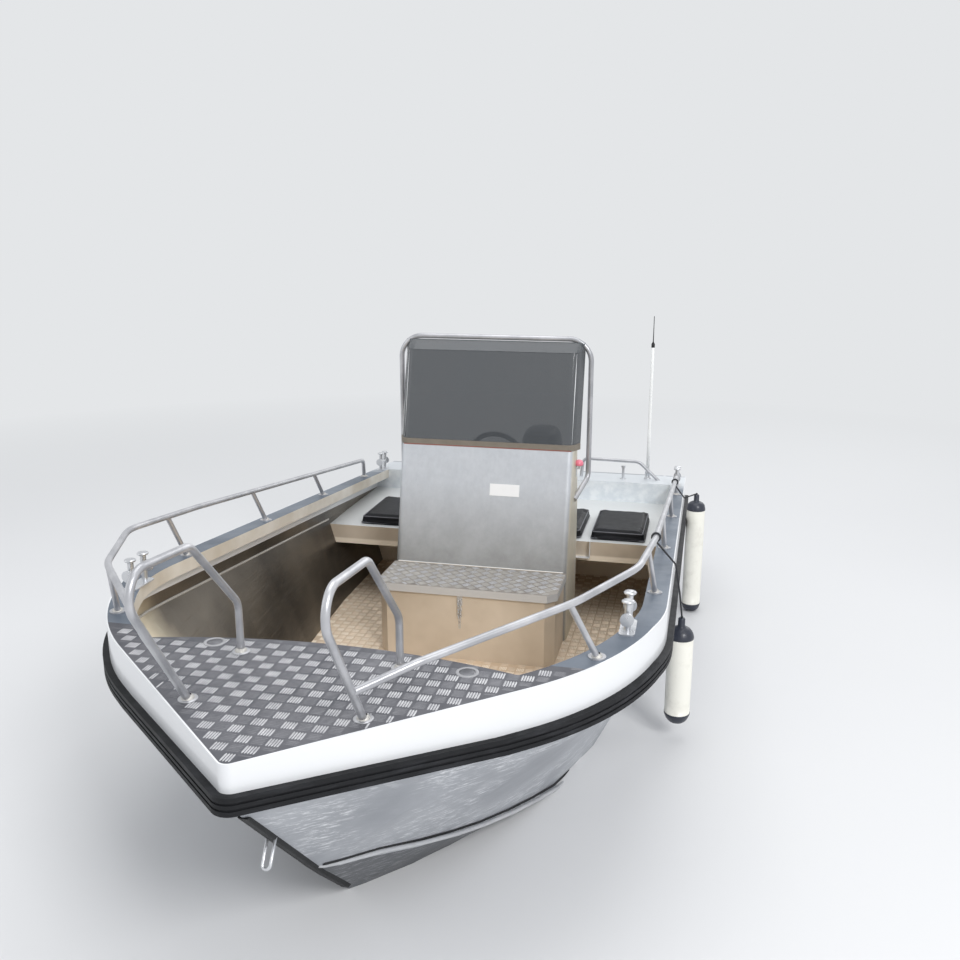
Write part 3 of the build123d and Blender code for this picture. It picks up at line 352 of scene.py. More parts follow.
def red_lens():
    finish = Finish("red_lens", coat=0.5)
    red = finish.axis(finish.place, "Z") > lens_foot
    finish.colour(finish.blend(red, chip(196, 198, 200), chip(238, 128, 150)))
    finish.rough(0.2 + finish.noise(40, 3) * 0.15)
    finish.relief(finish.noise(200, 3), 0.0002)
    return finish.material


def weld_bead():
    finish = Finish("weld_bead", metallic=0.5)
    ripple = finish.noise(120, 3)
    finish.colour(finish.blend(ripple, chip(160, 158, 154), chip(216, 213, 208)))
    finish.rough(0.34 + ripple * 0.3)
    finish.relief(ripple, 0.003)
    return finish.material


def even_coat(name, low, high, base_rough, coat):
    finish = Finish(name, coat=coat)
    finish.colour(finish.blend(finish.noise(16, 4), low, high))
    finish.rough(base_rough + finish.noise(40, 3) * 0.15)
    finish.relief(finish.noise(240, 3), 0.0003)
    return finish.material


def fender_vinyl():
    finish = Finish("fender_vinyl", coat=0.2)
    grime = finish.ramp(finish.noise(12, 5, 0.65), (0.5, 0), (0.8, 1))
    finish.colour(finish.blend(grime * 0.5, chip(240, 238, 228), chip(196, 192, 180)))
    finish.rough(0.36 + grime * 0.2)
    finish.relief(finish.noise(70, 3), 0.0004)
    return finish.material


def braided_line():
    finish = Finish("braided_line")
    strand = finish.node("TexWave", {"wave_type": "BANDS", "bands_direction": "DIAGONAL"},
                         {"Vector": finish.place, "Scale": 160.0, "Distortion": 1.0}, 1)
    finish.colour(finish.blend(strand, chip(26, 27, 30), chip(60, 61, 66)))
    finish.rough(0.75 + strand * 0.1)
    finish.relief(strand, 0.0008)
    return finish.material


def painted_motor(name, low, high):
    finish = Finish(name, coat=0.35)
    finish.colour(finish.blend(finish.noise(5, 4), low, high))
    finish.rough(0.28 + finish.noise(26, 3) * 0.16)
    finish.relief(finish.noise(180, 3), 0.0002)
    return finish.material


# Even finishes: two tones, roughness and coat
Even = namedtuple("Even", "low high rough coat", defaults=(0.4, 0.0))
even_finishes = {
    "trim_strip": Even((114, 107, 97), (138, 130, 119), 0.5),
    # A pale skin over the screen's bends, a painted highlight
    "bend_highlight_painted": Even((214, 216, 218), (232, 233, 234), 0.15, 0.4),
    "helm_plastic": Even((36, 37, 40), (52, 53, 56)),
    "dial_face": Even((222, 223, 220), (234, 234, 232)),
    "antenna_white": Even((236, 237, 236), (246, 246, 245), 0.3, 0.3),
    "fitting_plate": Even((142, 142, 145), (172, 172, 175), 0.35),
    "satin_plate": Even((206, 208, 210), (222, 223, 225), 0.3, 0.2),
    "trim_line": Even((134, 72, 60), (150, 88, 74), 0.5),
    # Paler than the black vinyl: a painted edge highlight on the cushions' piping
    "piping_painted_highlight": Even((84, 85, 91), (112, 113, 119)),
    "red_mark": Even((190, 40, 34), (206, 56, 48)),
    "chine_edge": Even((150, 151, 154), (192, 193, 196), 0.3, 0.1),
    # Near-black stem bar: painted shade on a plain aluminium bar
    "stem_bar_painted_shade": Even((13, 14, 15), (26, 27, 29), 0.6),
    # Black rubber tone, also worn by the painted shadow over the chine strip
    "gasket_and_painted_shadow": Even((22, 22, 24), (34, 34, 37), 0.6),
    "fender_end": Even((34, 38, 50), (50, 54, 66), 0.35, 0.2),
    "white_label": Even((232, 232, 233), (240, 240, 240), 0.45),
}
tread_grounds = {
    "tread_plate": ((84, 85, 91), (112, 112, 117), (176, 168, 158)),
    "sole_plate": ((204, 184, 160), (230, 210, 186), (190, 174, 156)),
    "lid_plate": ((136, 130, 124), (164, 158, 150), (206, 207, 209)),
}
# Each pair of bar finishes: the paler one is a painted highlight, worn by the ridges of one direction
tread_bars = {
    "glint_painted_bar": ((164, 164, 168), (204, 204, 206), 0.4),
    "grey_bar": ((96, 97, 102), (124, 124, 128), 0.4),
    "glint_painted_tan_bar": ((238, 222, 200), (250, 238, 222), 0.15),
    "lid_bar": ((150, 147, 143), (178, 175, 170), 0.4),
    "dull_bar": ((206, 188, 166), (228, 210, 190), 0.3),
}
motor_paints = {
    "motor_grey": ((62, 65, 70), (78, 81, 87)),
    "motor_dark": ((36, 37, 40), (50, 51, 55)),
}
finishes = {make.__name__: make() for make in (
    bare_aluminium, side_deck_plate, interior_plate, white_paint, black_rubber, brushed_panel, rail_tube,
    bright_steel, black_vinyl, tinted_screen, red_lens, weld_bead, fender_vinyl, braided_line)}
for name, even in even_finishes.items():
    finishes[name] = even_coat(name, chip(*even.low), chip(*even.high), even.rough, even.coat)
for name, (low, high, edge) in tread_grounds.items():
    finishes[name] = tread_ground(name, chip(*low), chip(*high), chip(*edge))
for name, (low, high, metallic) in tread_bars.items():
    finishes[name] = tread_bar(name, chip(*low), chip(*high), metallic)
for name, (low, high) in motor_paints.items():
    finishes[name] = painted_motor(name, chip(*low), chip(*high))

# The nodes that wear each finish
wear = {
    "bare_aluminium": "hull_bow_port hull_bow_starboard hull_port hull_starboard transom",
    "white_paint": "sheer_band",
    "black_rubber": "rub_rail",
    "tread_plate": "fore_deck",
    "side_deck_plate": "side_deck_port side_deck_starboard",
    "sole_plate": "cockpit_sole",
    "interior_plate": "fore_bulkhead bench motor_well step_box",
    "brushed_panel": "console_body",
    "trim_strip": "screen_trim",
    "tinted_screen": "windscreen",
    "rail_tube": "console_hoop bow_loops bow_rail_port bow_rail_starboard rail_posts stern_rail_port "
                 "stern_rail_starboard",
    "helm_plastic": "helm steering_wheel throttle",
    "lid_plate": "step_lid",
    "bright_steel": "hasp bollard_fore_port bollard_fore_starboard bollard_aft_port bollard_aft_starboard "
                    "stern_post bow_eye",
    "red_lens": "side_light_port",
    "braided_line": "fender_line_fore fender_line_aft",
    "motor_dark": "engine_bracket swivel_bracket propeller",
    "motor_grey": "engine_leg",
}
for finish, names in wear.items():
    for name in names.split():
        mesh = nodes[name].data
        mesh.materials.clear()
        mesh.materials.append(finishes[finish])


# Mesh makers
def piece(name, body, verts, faces, finish, smooth=False):
    mesh = bpy.data.meshes.new(name)
    mesh.from_pydata([tuple(v) for v in verts], [], faces)
    mesh.validate()
    made = bpy.data.objects.new(name, mesh)
    scene.collection.objects.link(made)
    mesh.materials.append(finishes[finish])
    if smooth:
        for face in mesh.polygons:
            face.use_smooth = True
    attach(made, body)
    return made


def circle(steps):
    return [2 * pi * k / steps for k in range(steps)]


class Shape:
    """Collects many small forms into one mesh."""

    def __init__(self):
        self.verts = []
        self.faces = []

    def add(self, verts, faces):
        start = len(self.verts)
        self.verts += [Vector(v) for v in verts]
        self.faces += [tuple(start + i for i in face) for face in faces]

    def rings(self, rings, closed=True, cap=True):
        count = len(rings[0])
        verts = [point for ring in rings for point in ring]
        faces = []
        for row in range(len(rings) - 1):
            for i in range(count if closed else count - 1):
                j = (i + 1) % count
                faces.append((row * count + i, row * count + j, (row + 1) * count + j, (row + 1) * count + i))
        if cap:
            faces.append(tuple(reversed(range(count))))
            faces.append(tuple((len(rings) - 1) * count + i for i in range(count)))
        self.add(verts, faces)

    def turned(self, centre, axis, profile, steps=32, cap=True):
        axis = Vector(axis).normalized()
        across = axis.orthogonal().normalized()
        other = axis.cross(across)
        rings = []
        for along, radius in profile:
            middle = Vector(centre) + axis * along
            rings.append([middle + (across * cos(a) + other * sin(a)) * radius for a in circle(steps)])
        self.rings(rings, cap=cap)

    def box(self, low, high):
        (x0, y0, z0), (x1, y1, z1) = low, high
        corners = [(x0, y0, z0), (x1, y0, z0), (x1, y1, z0), (x0, y1, z0),
                   (x0, y0, z1), (x1, y0, z1), (x1, y1, z1), (x0, y1, z1)]
        sides = [(0, 1, 5, 4), (1, 2, 6, 5), (2, 3, 7, 6), (3, 0, 4, 7)]
        self.add(corners, [(3, 2, 1, 0), (4, 5, 6, 7)] + sides)

    def slab(self, face, back):
        """A plate between two outlines of four corners each."""
        edges = [(0, 4, 5, 1), (1, 5, 6, 2), (2, 6, 7, 3), (3, 7, 4, 0)]
        self.add(face + back, [(0, 1, 2, 3), (7, 6, 5, 4)] + edges)

    def make(self, name, body, finish, slot=None, smooth=False):
        return piece(name, body, self.verts, self.faces, finish, smooth)


# Places on the carried-over nodes
half_length = 2.4
deck_low, deck_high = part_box("fore_deck")
lid_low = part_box("step_lid")[0]
console_low, console_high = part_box("console_body")
step_low, step_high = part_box("step_box")
bench_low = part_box("bench")[0]
bulkhead_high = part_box("fore_bulkhead")[1]
trim_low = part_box("screen_trim")[0]
screen_low, screen_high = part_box("windscreen")
light_low, light_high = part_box("side_light_port")
hasp_low, hasp_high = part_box("hasp")
throttle_low, throttle_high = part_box("throttle")
deck_level = deck_high.z
sheer_start, stem_inset = 1.2, 0.0168
sheer_break = deck_low.y + sheer_start - stem_inset
sheer_fall = 0.092


def deck_height(y):
    return deck_level - sheer_fall * max(0, y - sheer_break)


def tree_of(*names):
    verts, faces = [], []
    for name in names:
        mesh = nodes[name].data
        start = len(verts)
        verts += [v.co.copy() for v in mesh.vertices]
        faces += [tuple(start + i for i in p.vertices) for p in mesh.polygons]
    return BVHTree.FromPolygons(verts, faces)


# Rolled tread: groups of five ridges, every other group turned a quarter; the groups of one direction wear
# a paler finish than the others, a painted highlight
tread_cell = Vector((0.0465, 0.0495))
tread_start = (-0.0085, deck_low.y + 0.427)
ridge_count = 5
ridge_pitch = 0.0083
ridge_length = 0.044
ridge_half_width = 0.0031
ridge_height = 0.0013
ridge_taper = 0.007
crest_share = 0.95
level_error = 0.0005
console_foot = 0.02


def ridge(shape, centre, along, height):
    side = Vector((-along.y, along.x, 0))
    up = Vector((0, 0, height))
    tip = along * (ridge_length / 2)
    shoulder = along * (ridge_length / 2 - ridge_taper)
    wide = side * ridge_half_width
    base = [centre - tip, centre - shoulder - wide, centre + shoulder - wide, centre + tip,
            centre + shoulder + wide, centre - shoulder + wide]
    crest = [centre - shoulder * crest_share + up, centre + shoulder * crest_share + up]
    shape.add(base + crest, [(0, 1, 6), (1, 2, 7, 6), (2, 3, 7), (3, 4, 7), (4, 5, 6, 7), (5, 0, 6)])


def tread(node, turn, start, blocked):
    tree = tree_of(node)
    low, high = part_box(node)
    level = high.z
    ahead = Vector((-sin(turn), cos(turn), 0))
    across = Vector((cos(turn), sin(turn), 0))
    bright, grey = Shape(), Shape()
    middle = Vector((start[0], start[1], level))
    reach = hypot(high.x - low.x, high.y - low.y)
    columns = ceil(reach / tread_cell.x)
    rows = ceil(reach / tread_cell.y)

    def on_plate(point):
        if any(x0 < point.x < x1 and y0 < point.y < y1 for x0, x1, y0, y1 in blocked):
            return False
        if not (low.x < point.x < high.x and low.y < point.y < high.y):
            return False
        hit = tree.ray_cast(point + Vector((0, 0, 0.01)), Vector((0, 0, -1)), 0.02)
        return hit[0] is not None and abs(hit[0].z - level) < level_error

    for column in range(-columns, columns + 1):
        for row in range(-rows, rows + 1):
            centre = middle + across * (column * tread_cell.x) + ahead * (row * tread_cell.y)
            fore_and_aft = (column + row) % 2 == 0
            along, beside = (ahead, across) if fore_and_aft else (across, ahead)
            for k in range(ridge_count):
                spot = centre + beside * ((k - (ridge_count - 1) / 2) * ridge_pitch)
                tip = along * (ridge_length / 2)
                if on_plate(spot - tip) and on_plate(spot + tip) and on_plate(spot):
                    ridge(bright if fore_and_aft else grey, spot, along, ridge_height)
    return bright, grey


def lay_tread(name, body, node, turn, start, pair, blocked=()):
    for shape, tone, finish in zip(tread(node, turn, start, blocked), ("bright", "grey"), pair):
        shape.make(f"{name}_{tone}_ridges", body, finish, "tread_plate")


under_box = (step_low.x, step_high.x, step_low.y, step_high.y)
under_console = (console_low.x, console_high.x, console_low.y, console_low.y + console_foot)
lay_tread("deck_tread", "hull", "fore_deck", 0, tread_start, ("glint_painted_bar", "grey_bar"))
lay_tread("sole_tread", "hull", "cockpit_sole", 0, tread_start, ("glint_painted_tan_bar", "dull_bar"),
          (under_box, under_console))
lay_tread("lid_tread", "lid", "step_lid", radians(45), (0, lid_low.y), ("glint_painted_bar", "lid_bar"))


# Tubes: along a line with its section kept upright, or round wide bends
def tube_along(points, radius, sides, squash=1.0, closed=False):
    count = len(points)
    rings = []
    for i, point in enumerate(points):
        before = points[i - 1] if closed or i > 0 else point
        after = points[(i + 1) % count] if closed or i + 1 < count else point
        ahead = (after - before).normalized()
        across = ahead.cross(Vector((0, 0, 1))).normalized()
        up = across.cross(ahead)
        rings.append([point + (across * cos(a) + up * (sin(a) * squash)) * radius for a in circle(sides)])
    shape = Shape()
    shape.rings(rings + rings[:1] if closed else rings, cap=not closed)
    return shape


def rounded(points, radii, steps=10):
    path = [points[0]]
    for before, corner, after, radius in zip(points, points[1:], points[2:], radii):
        back = (before - corner).normalized()
        ahead = (after - corner).normalized()
        half = back.angle(ahead) / 2
        reach = radius / tan(half)
        middle = corner + (back + ahead).normalized() * (radius / sin(half))
        start, end = corner + back * reach - middle, corner + ahead * reach - middle
        path += [middle + start.lerp(end, k / steps).normalized() * radius for k in range(steps + 1)]
    path.append(points[-1])
    return path


def bent_tube(shape, path, radius, sides=18):
    ahead = (path[1] - path[0]).normalized()
    across = ahead.orthogonal().normalized()
    rings = []
    for i, point in enumerate(path):
        turned = (path[min(i + 1, len(path) - 1)] - path[max(i - 1, 0)]).normalized()
        across = ahead.rotation_difference(turned) @ across
        ahead = turned
        up = ahead.cross(across)
        rings.append([point + (across * cos(a) + up * sin(a)) * radius for a in circle(sides)])
    shape.rings(rings)


def split_long(points, step):
    dense = []
    for start, end in zip(points, points[1:]):
        count = max(1, round((end - start).length / step))
        dense += [start.lerp(end, k / count) for k in range(count)]
    return dense + [points[-1]]


# Along the chine: a bright edge strip with a black strip above it, a painted shadow under the edge strip.
# Each station gives the distance aft of the stem's head, the chine's half-breadth and height, and how far
# out the strip lies
Chine = namedtuple("Chine", "aft half height lip")
chine_line = [
    Chine(0.560, 0.006, 0.308, 0.003),
    Chine(0.575, 0.020, 0.302, 0.009),
    Chine(0.62, 0.056, 0.288, 0.012),
    Chine(0.75, 0.146, 0.255, 0.018),
    Chine(0.90, 0.255, 0.207, 0.022),
    Chine(1.05, 0.340, 0.157, 0.024),
    Chine(1.20, 0.412, 0.110, 0.024),
    Chine(1.38, 0.492, 0.062, 0.024),
    Chine(1.54, 0.562, 0.028, 0.024),
    Chine(1.70, 0.626, -0.003, 0.024),
    Chine(2.10, 0.745, -0.045, 0.024),
    Chine(2.60, 0.832, -0.072, 0.024),
    Chine(3.30, 0.892, -0.092, 0.024),
    Chine(4.79, 0.920, -0.100, 0.024),
]
strip_rise, strip_radius, strip_squash = 0.002, 0.0105, 0.7
chine_shadow_rise, chine_shadow_out, chine_shadow_radius = 0.014, 0.005, 0.0065
hull_trees = {hand: tree_of(f"hull_bow_{hand}", f"hull_{hand}") for hand in ("port", "starboard")}
for side, hand in ((1, "port"), (-1, "starboard")):
    strip_line, chine_shadow_line = [], []
    for c in chine_line:
        y = c.aft - half_length
        strip_line.append(Vector((side * (c.half + c.lip), y, c.height + strip_rise)))
        outside = Vector((side * 2, y, c.height + chine_shadow_rise))
        hit = hull_trees[hand].ray_cast(outside, Vector((-side, 0, 0)), 2)
        chine_shadow_line.append(Vector((side * max(c.half + chine_shadow_out, abs(hit[0].x)), outside.y, outside.z)))
    chine_strip = tube_along(strip_line, strip_radius, 12, strip_squash)
    chine_strip.make(f"chine_strip_{hand}", "hull", "chine_edge", "bare_aluminium", True)
    # The black strip over the chine strip is a painted shadow
    chine_painted_shadow = tube_along(chine_shadow_line, chine_shadow_radius, 8)
    chine_painted_shadow.make(f"chine_painted_shadow_{hand}", "hull", "gasket_and_painted_shadow", "black_rubber", True)

# Weld bead inside the hull, along the knuckle behind the rubber
knuckle_drop = 0.191
bead_radius, bead_sink, bead_end = 0.0065, 0.002, 0.004
bead_steps = 90
bead_start, bead_stop = bulkhead_high.y + bead_end, bench_low.y - bead_end
for side, hand in ((1, "port"), (-1, "starboard")):
    bead_line = []
    for k in range(bead_steps + 1):
        y = bead_start + (bead_stop - bead_start) * k / bead_steps
        inside = Vector((0, y, deck_height(y) - knuckle_drop))
        hit = hull_trees[hand].ray_cast(inside, Vector((side, 0, 0)), 2)
        if hit[0]:
            bead_line.append(hit[0] - Vector((0, 0, bead_sink)))
    bead = tube_along(bead_line, bead_radius, 8)
    bead.make(f"knuckle_weld_{hand}", "hull", "weld_bead", "bare_aluminium", True)


# Weld rings round the feet of the rails, found from the round pads under them
pad_top = 0.004
pad_reach = 0.06
pad_points = 8
rail_radius, post_radius = 0.0125, 0.011


def pads(node):
    spots = []
    for vertex in nodes[node].data.vertices:
        rise = vertex.co.z - deck_height(vertex.co.y)
        if -pad_top < rise < pad_top + level_error:
            for spot in spots:
                if (spot[0] - vertex.co).length < pad_reach:
                    spot.append(vertex.co.copy())
                    break
            else:
                spots.append([vertex.co.copy()])
    return [sum((p for p in spot), Vector()) / len(spot) for spot in spots if len(spot) > pad_points]


foot_welds = Shape()
weld_ring = [(0, 0.008), (0.003, 0.007), (0.009, 0.002), (0.011, -0.001)]
for node in ("bow_loops", "bow_rail_port", "bow_rail_starboard", "rail_posts"):
    radius = post_radius if node == "rail_posts" else rail_radius
    for pad in pads(node):
        base = Vector((pad.x, pad.y, deck_height(pad.y) + pad_top))
        foot_welds.turned(base, (0, 0, 1), [(rise, radius + out) for rise, out in weld_ring], 28, False)
foot_welds.make("foot_welds", "hull", "weld_bead", "rail_tube", True)

# Bow loops: one bent tube a side, with wide bends. Each bend: distance aft, rise above the deck and radius
loop_half = 0.277
loop_step = 0.05
LoopBend = namedtuple("LoopBend", "aft rise radius")
loop_bends = [
    LoopBend(0.062, 0.400, 0.080),
    LoopBend(0.118, 0.480, 0.072),
    LoopBend(0.400, 0.458, 0.070),
    LoopBend(0.675, 0.175, 0.070),
]
loop_pad = [(-0.001, 0.030), (0.003, 0.030), (0.004, 0.029), (0.004, 0.012)]
foot_places = [p.y for p in pads("bow_loops")]
loops = Shape()
for side in (-1, 1):
    feet = [Vector((side * loop_half, y, deck_level)) for y in (min(foot_places), max(foot_places))]
    bends = [Vector((side * loop_half, b.aft - half_length, deck_level + b.rise)) for b in loop_bends]
    loop_path = rounded([feet[0], *bends, feet[1]], [b.radius for b in loop_bends])
    bent_tube(loops, split_long(loop_path, loop_step), rail_radius)
    for foot in feet:
        loops.turned(foot, (0, 0, 1), loop_pad, 40)
loop_piece = loops.make("bow_loop_tubes", "hull", "rail_tube", "rail_tube", True)
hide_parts("bow_loops")

# Stem bar up to the rubber, its near-black tone painted shade, and the eye that hangs from it
stem_foot, stem_head, rubber_foot = 0.04, deck_level - 0.275, deck_level - 0.215
stem_steps = 30
bar_section = ((-0.016, -0.003), (-0.012, -0.006), (0.012, -0.006), (0.016, -0.003), (0.019, 0.018),
               (-0.019, 0.018))
stem_tree = tree_of("hull_bow_port", "hull_bow_starboard")
stem_points = []
for k in range(stem_steps + 1):
    z = stem_foot + (stem_head - stem_foot) * k / stem_steps
    hit = stem_tree.ray_cast(Vector((0.002, -3, z)), Vector((0, 1, 0)), 3)
    if hit[0]:
        stem_points.append(Vector((0, hit[0].y, z)))
top_run = stem_points[-1] - stem_points[-4]
stem_points.append(stem_points[-1] + top_run * ((rubber_foot - stem_points[-1].z) / top_run.z))
stem_bar_painted_shade = Shape()
stem_bar_painted_shade.rings([[p + Vector((x, y, 0)) for x, y in bar_section] for p in stem_points])
stem_bar_painted_shade.make("stem_bar_painted_shade", "hull", "stem_bar_painted_shade", "bare_aluminium")


def stem_at(z):
    return min(stem_points, key=lambda p: abs(p.z - z)).y


eye_half, eye_rod = 0.0125, 0.005
eye_round = eye_half * 0.97
eye_top, eye_foot = deck_level - 0.372, deck_level - 0.460
eye_root = stem_at(eye_top - 0.02) + 0.01
eye_front = stem_at(eye_top) - 0.028
eye_corners = ((-eye_half, eye_root, eye_top), (-eye_half, eye_front, eye_foot),
               (eye_half, eye_front, eye_foot), (eye_half, eye_root, eye_top))
eye = Shape()
bent_tube(eye, rounded([Vector(corner) for corner in eye_corners], [eye_round] * 2, 8), eye_rod, 14)
eye_piece = eye.make("bow_eye_ring", "hull", "bright_steel", "bright_steel", True)
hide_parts("bow_eye")

# Flush round fittings in the fore deck, each a ring with a plug
fitting_ring = [(0, 0.0375), (0.0025, 0.037), (0.003, 0.035), (0.003, 0.027), (0.0015, 0.0265)]
fitting_plug = [(0.001, 0.0265), (0.0012, 0.0245), (0.0022, 0.0235), (0.0024, 0.0005)]
fittings, plugs = Shape(), Shape()
for x, aft in ((-0.399, 0.724), (0.495, 0.69)):
    centre = (x, aft - half_length, deck_level)
    fittings.turned(centre, (0, 0, 1), fitting_ring, 48, False)
    plugs.turned(centre, (0, 0, 1), fitting_plug, 48)
fittings.make("deck_fittings", "hull", "fitting_plate", "bright_steel", True)
plugs.make("deck_fitting_plugs", "hull", "grey_bar", "bright_steel", True)

# Bollards: round caps on the posts
post_cap = [(0, 0.012), (0.001, 0.020), (0.004, 0.0225), (0.008, 0.0225), (0.011, 0.019), (0.0125, 0.008),
            (0.0128, 0.0005)]
cap_sink, cap_zone = 0.004, 0.012
caps = Shape()
for name in ("fore_port", "fore_starboard", "aft_port", "aft_starboard"):
    low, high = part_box(f"bollard_{name}")
    tops = [v.co for v in nodes[f"bollard_{name}"].data.vertices if v.co.z > high.z - cap_zone]
    centre = (low.y + high.y) / 2
    for end in (-1, 1):
        near = [p for p in tops if (p.y - centre) * end > 0.01]
        if near:
            spot = sum(near, Vector()) / len(near)
            top = max(p.z for p in near)
            caps.turned((spot.x, spot.y, top - cap_sink), (0, 0, 1), post_cap, 32)
caps.make("bollard_caps", "hull", "bright_steel", "bright_steel", True)

# Console: blank label on the leaning front plate
panel_foot = Vector((0, console_low.y, step_high.z))
panel_rise = Vector((0, 0.152, 0.649)).normalized()
panel_face = Vector((0, -panel_rise.z, panel_rise.y))
label_left, label_right, label_foot, label_height = 0.036, 0.205, 0.921, 0.067
label_back, label_front = 0.0002, 0.0008
label_low = (label_foot - panel_foot.z) / panel_rise.z
label_corners = []
for x, up in ((label_left, 0), (label_right, 0), (label_right, label_height), (label_left, label_height)):
    label_corners.append(Vector((x, panel_foot.y, panel_foot.z)) + panel_rise * (label_low + up))
label = Shape()
label.slab([c + panel_face * label_back for c in label_corners],
           [c + panel_face * label_front for c in label_corners])
label.make("blank_label", "hull", "white_label", "brushed_panel")

# Thin line under the strip at the screen's foot
line_half, line_foot, line_top = 0.484, 0.0005, 0.005
thin_line = Shape()
thin_line.box((-line_half, trim_low.y - 0.0012, trim_low.z + line_foot),
              (line_half, trim_low.y + 0.001, trim_low.z + line_top))
thin_line.make("trim_line", "hull", "trim_line", "trim_strip")

# Painted highlights where the screen is bent: a narrow pale skin on the bend, widest above mid height
screen_lean = 0.128
screen_rise = screen_high.z - screen_low.z
bend_side, bend_back, bend_turn = 0.470, 0.030, 34
bend_end, bend_skin = 0.004, 0.0006
bend_rows = 24
screen_tree = tree_of("windscreen")
for side, hand in ((1, "port"), (-1, "starboard")):
    bend_rings = []
    for k in range(bend_rows + 1):
        z = screen_low.z + bend_end + (screen_rise - 2 * bend_end) * k / bend_rows
        lean = screen_lean * (z - screen_low.z) / screen_rise
        aim = Vector((side * bend_side, screen_low.y + lean + bend_back, z))
        swing = 1.2 + 4.2 * sin(pi * min(1, (k / bend_rows) ** 1.6 * 1.05))
        row = []
        for share in (-1, -1 / 3, 1 / 3, 1):
            turn = radians(bend_turn + swing * share)
            outward = Vector((side * sin(turn), -cos(turn), 0))
            hit = screen_tree.ray_cast(aim + outward * 0.2, -outward, 0.3)
            if hit[0]:
                row.append(hit[0] + outward * bend_skin)
        if len(row) == 4:
            bend_rings.append(row)
    bend = Shape()
    bend.rings(bend_rings, closed=False, cap=False)
    bend.make(f"screen_bend_highlight_{hand}", "hull", "bend_highlight_painted", "tinted_screen", True)

# Small bracket of bent strip on the bench's front
bracket_left, bracket_right, bracket_foot, bracket_head, bracket_hook = 0.478, 0.571, 0.475, 0.581, 0.490
bracket_thick = 0.003
bracket_front, bracket_back = bench_low.y - 0.034, bench_low.y - 0.0005
bracket = Shape()
for left, right, foot, head in (
        (bracket_right - bracket_thick, bracket_right, bracket_foot, bracket_head),
        (bracket_left, bracket_right - bracket_thick, bracket_foot, bracket_foot + bracket_thick),
        (bracket_left, bracket_left + bracket_thick, bracket_foot + bracket_thick, bracket_hook)):
    bracket.box((left, bracket_front, foot), (right, bracket_back, head))
bracket.make("bench_bracket", "hull", "satin_plate", "bare_aluminium")


# Fenders: a white body between dark caps
neck_height = 0.044


def fender(name):
    node = f"fender_{name}"
    low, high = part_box(node)
    middle = (low + high) / 2
    base = (middle.x, middle.y, 0)
    radius = (high.x - low.x) / 2
    shoulder = high.z - neck_height
    foot, length = low.z + 0.052, shoulder - low.z - 0.1
    white = [(low.z + 0.044, radius - 0.004), (foot, radius - 0.0005)]
    white += [(foot + length * k / 8, radius - 0.0012 + 0.0012 * sin(pi * k / 8)) for k in range(9)]
    white.append((shoulder - 0.040, radius - 0.004))
    body = Shape()
    body.turned(base, (0, 0, 1), white, 56)
    made = body.make(f"{node}_body", "hull", "fender_vinyl", "fender_white", True)
    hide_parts(node)
    lower = [(0, 0.006), (0.001, 0.022), (0.006, 0.034), (0.014, 0.044), (0.026, 0.052),
             (0.040, radius - 0.002), (0.048, radius + 0.0006), (0.054, radius + 0.0006),
             (0.056, radius - 0.003)]
    upper = [(-0.056, radius - 0.003), (-0.054, radius + 0.0006), (-0.046, radius + 0.0006),
             (-0.036, radius - 0.002), (-0.022, 0.052), (-0.010, 0.042), (-0.003, 0.030), (0, 0.019),
             (0.004, 0.0165)]
    neck = [(high.z - 0.006, 0.016), (high.z - 0.001, 0.013), (high.z, 0.006)]
    ends = Shape()
    ends.turned(base, (0, 0, 1), [(low.z + rise, reach) for rise, reach in lower], 56)
    ends.turned(base, (0, 0, 1), [(shoulder + rise, reach) for rise, reach in upper] + neck, 56)
    ends.make(f"{node}_ends", "hull", "fender_end", "fender_white", True)


fender("fore")
fender("aft")

# Cushions: rounded slabs that are blown up as cloth, with piping round the top and the foot, whose paler
# tone than the vinyl is a painted edge highlight
swell, swell_up = 0.009, 0.008
middle_spread = 0.011
pad_corner = 0.030
pad_levels = ((0.0005, 0.004), (0.004, 0.0005), (0.020, 0), (0.040, 0), (0.049, 0.0015), (0.053, 0.006))
middle_voxel, side_voxel = 0.009, 0.007
blow_moments = 20
piping_low, piping_high, piping_radius, piping_sink = 0.009, 0.047, 0.0032, 0.0008
piping_step = 0.03


def slab_ring(low, high, corner, shrink, z, steps=7):
    ring = []
    x0, x1, y0, y1 = low.x + shrink, high.x - shrink, low.y + shrink, high.y - shrink
    for cx, cy, start in ((x1 - corner, y1 - corner, 0), (x0 + corner, y1 - corner, 90),
                          (x0 + corner, y0 + corner, 180), (x1 - corner, y0 + corner, 270)):
        for k in range(steps):
            a = radians(start + 90 * k / (steps - 1))
            ring.append(Vector((cx + corner * cos(a), cy + corner * sin(a), z)))
    return ring


def solid_copy(obj):
    made = bpy.data.meshes.new_from_object(obj.evaluated_get(bpy.context.evaluated_depsgraph_get()))
    obj.modifiers.clear()
    obj.data = made


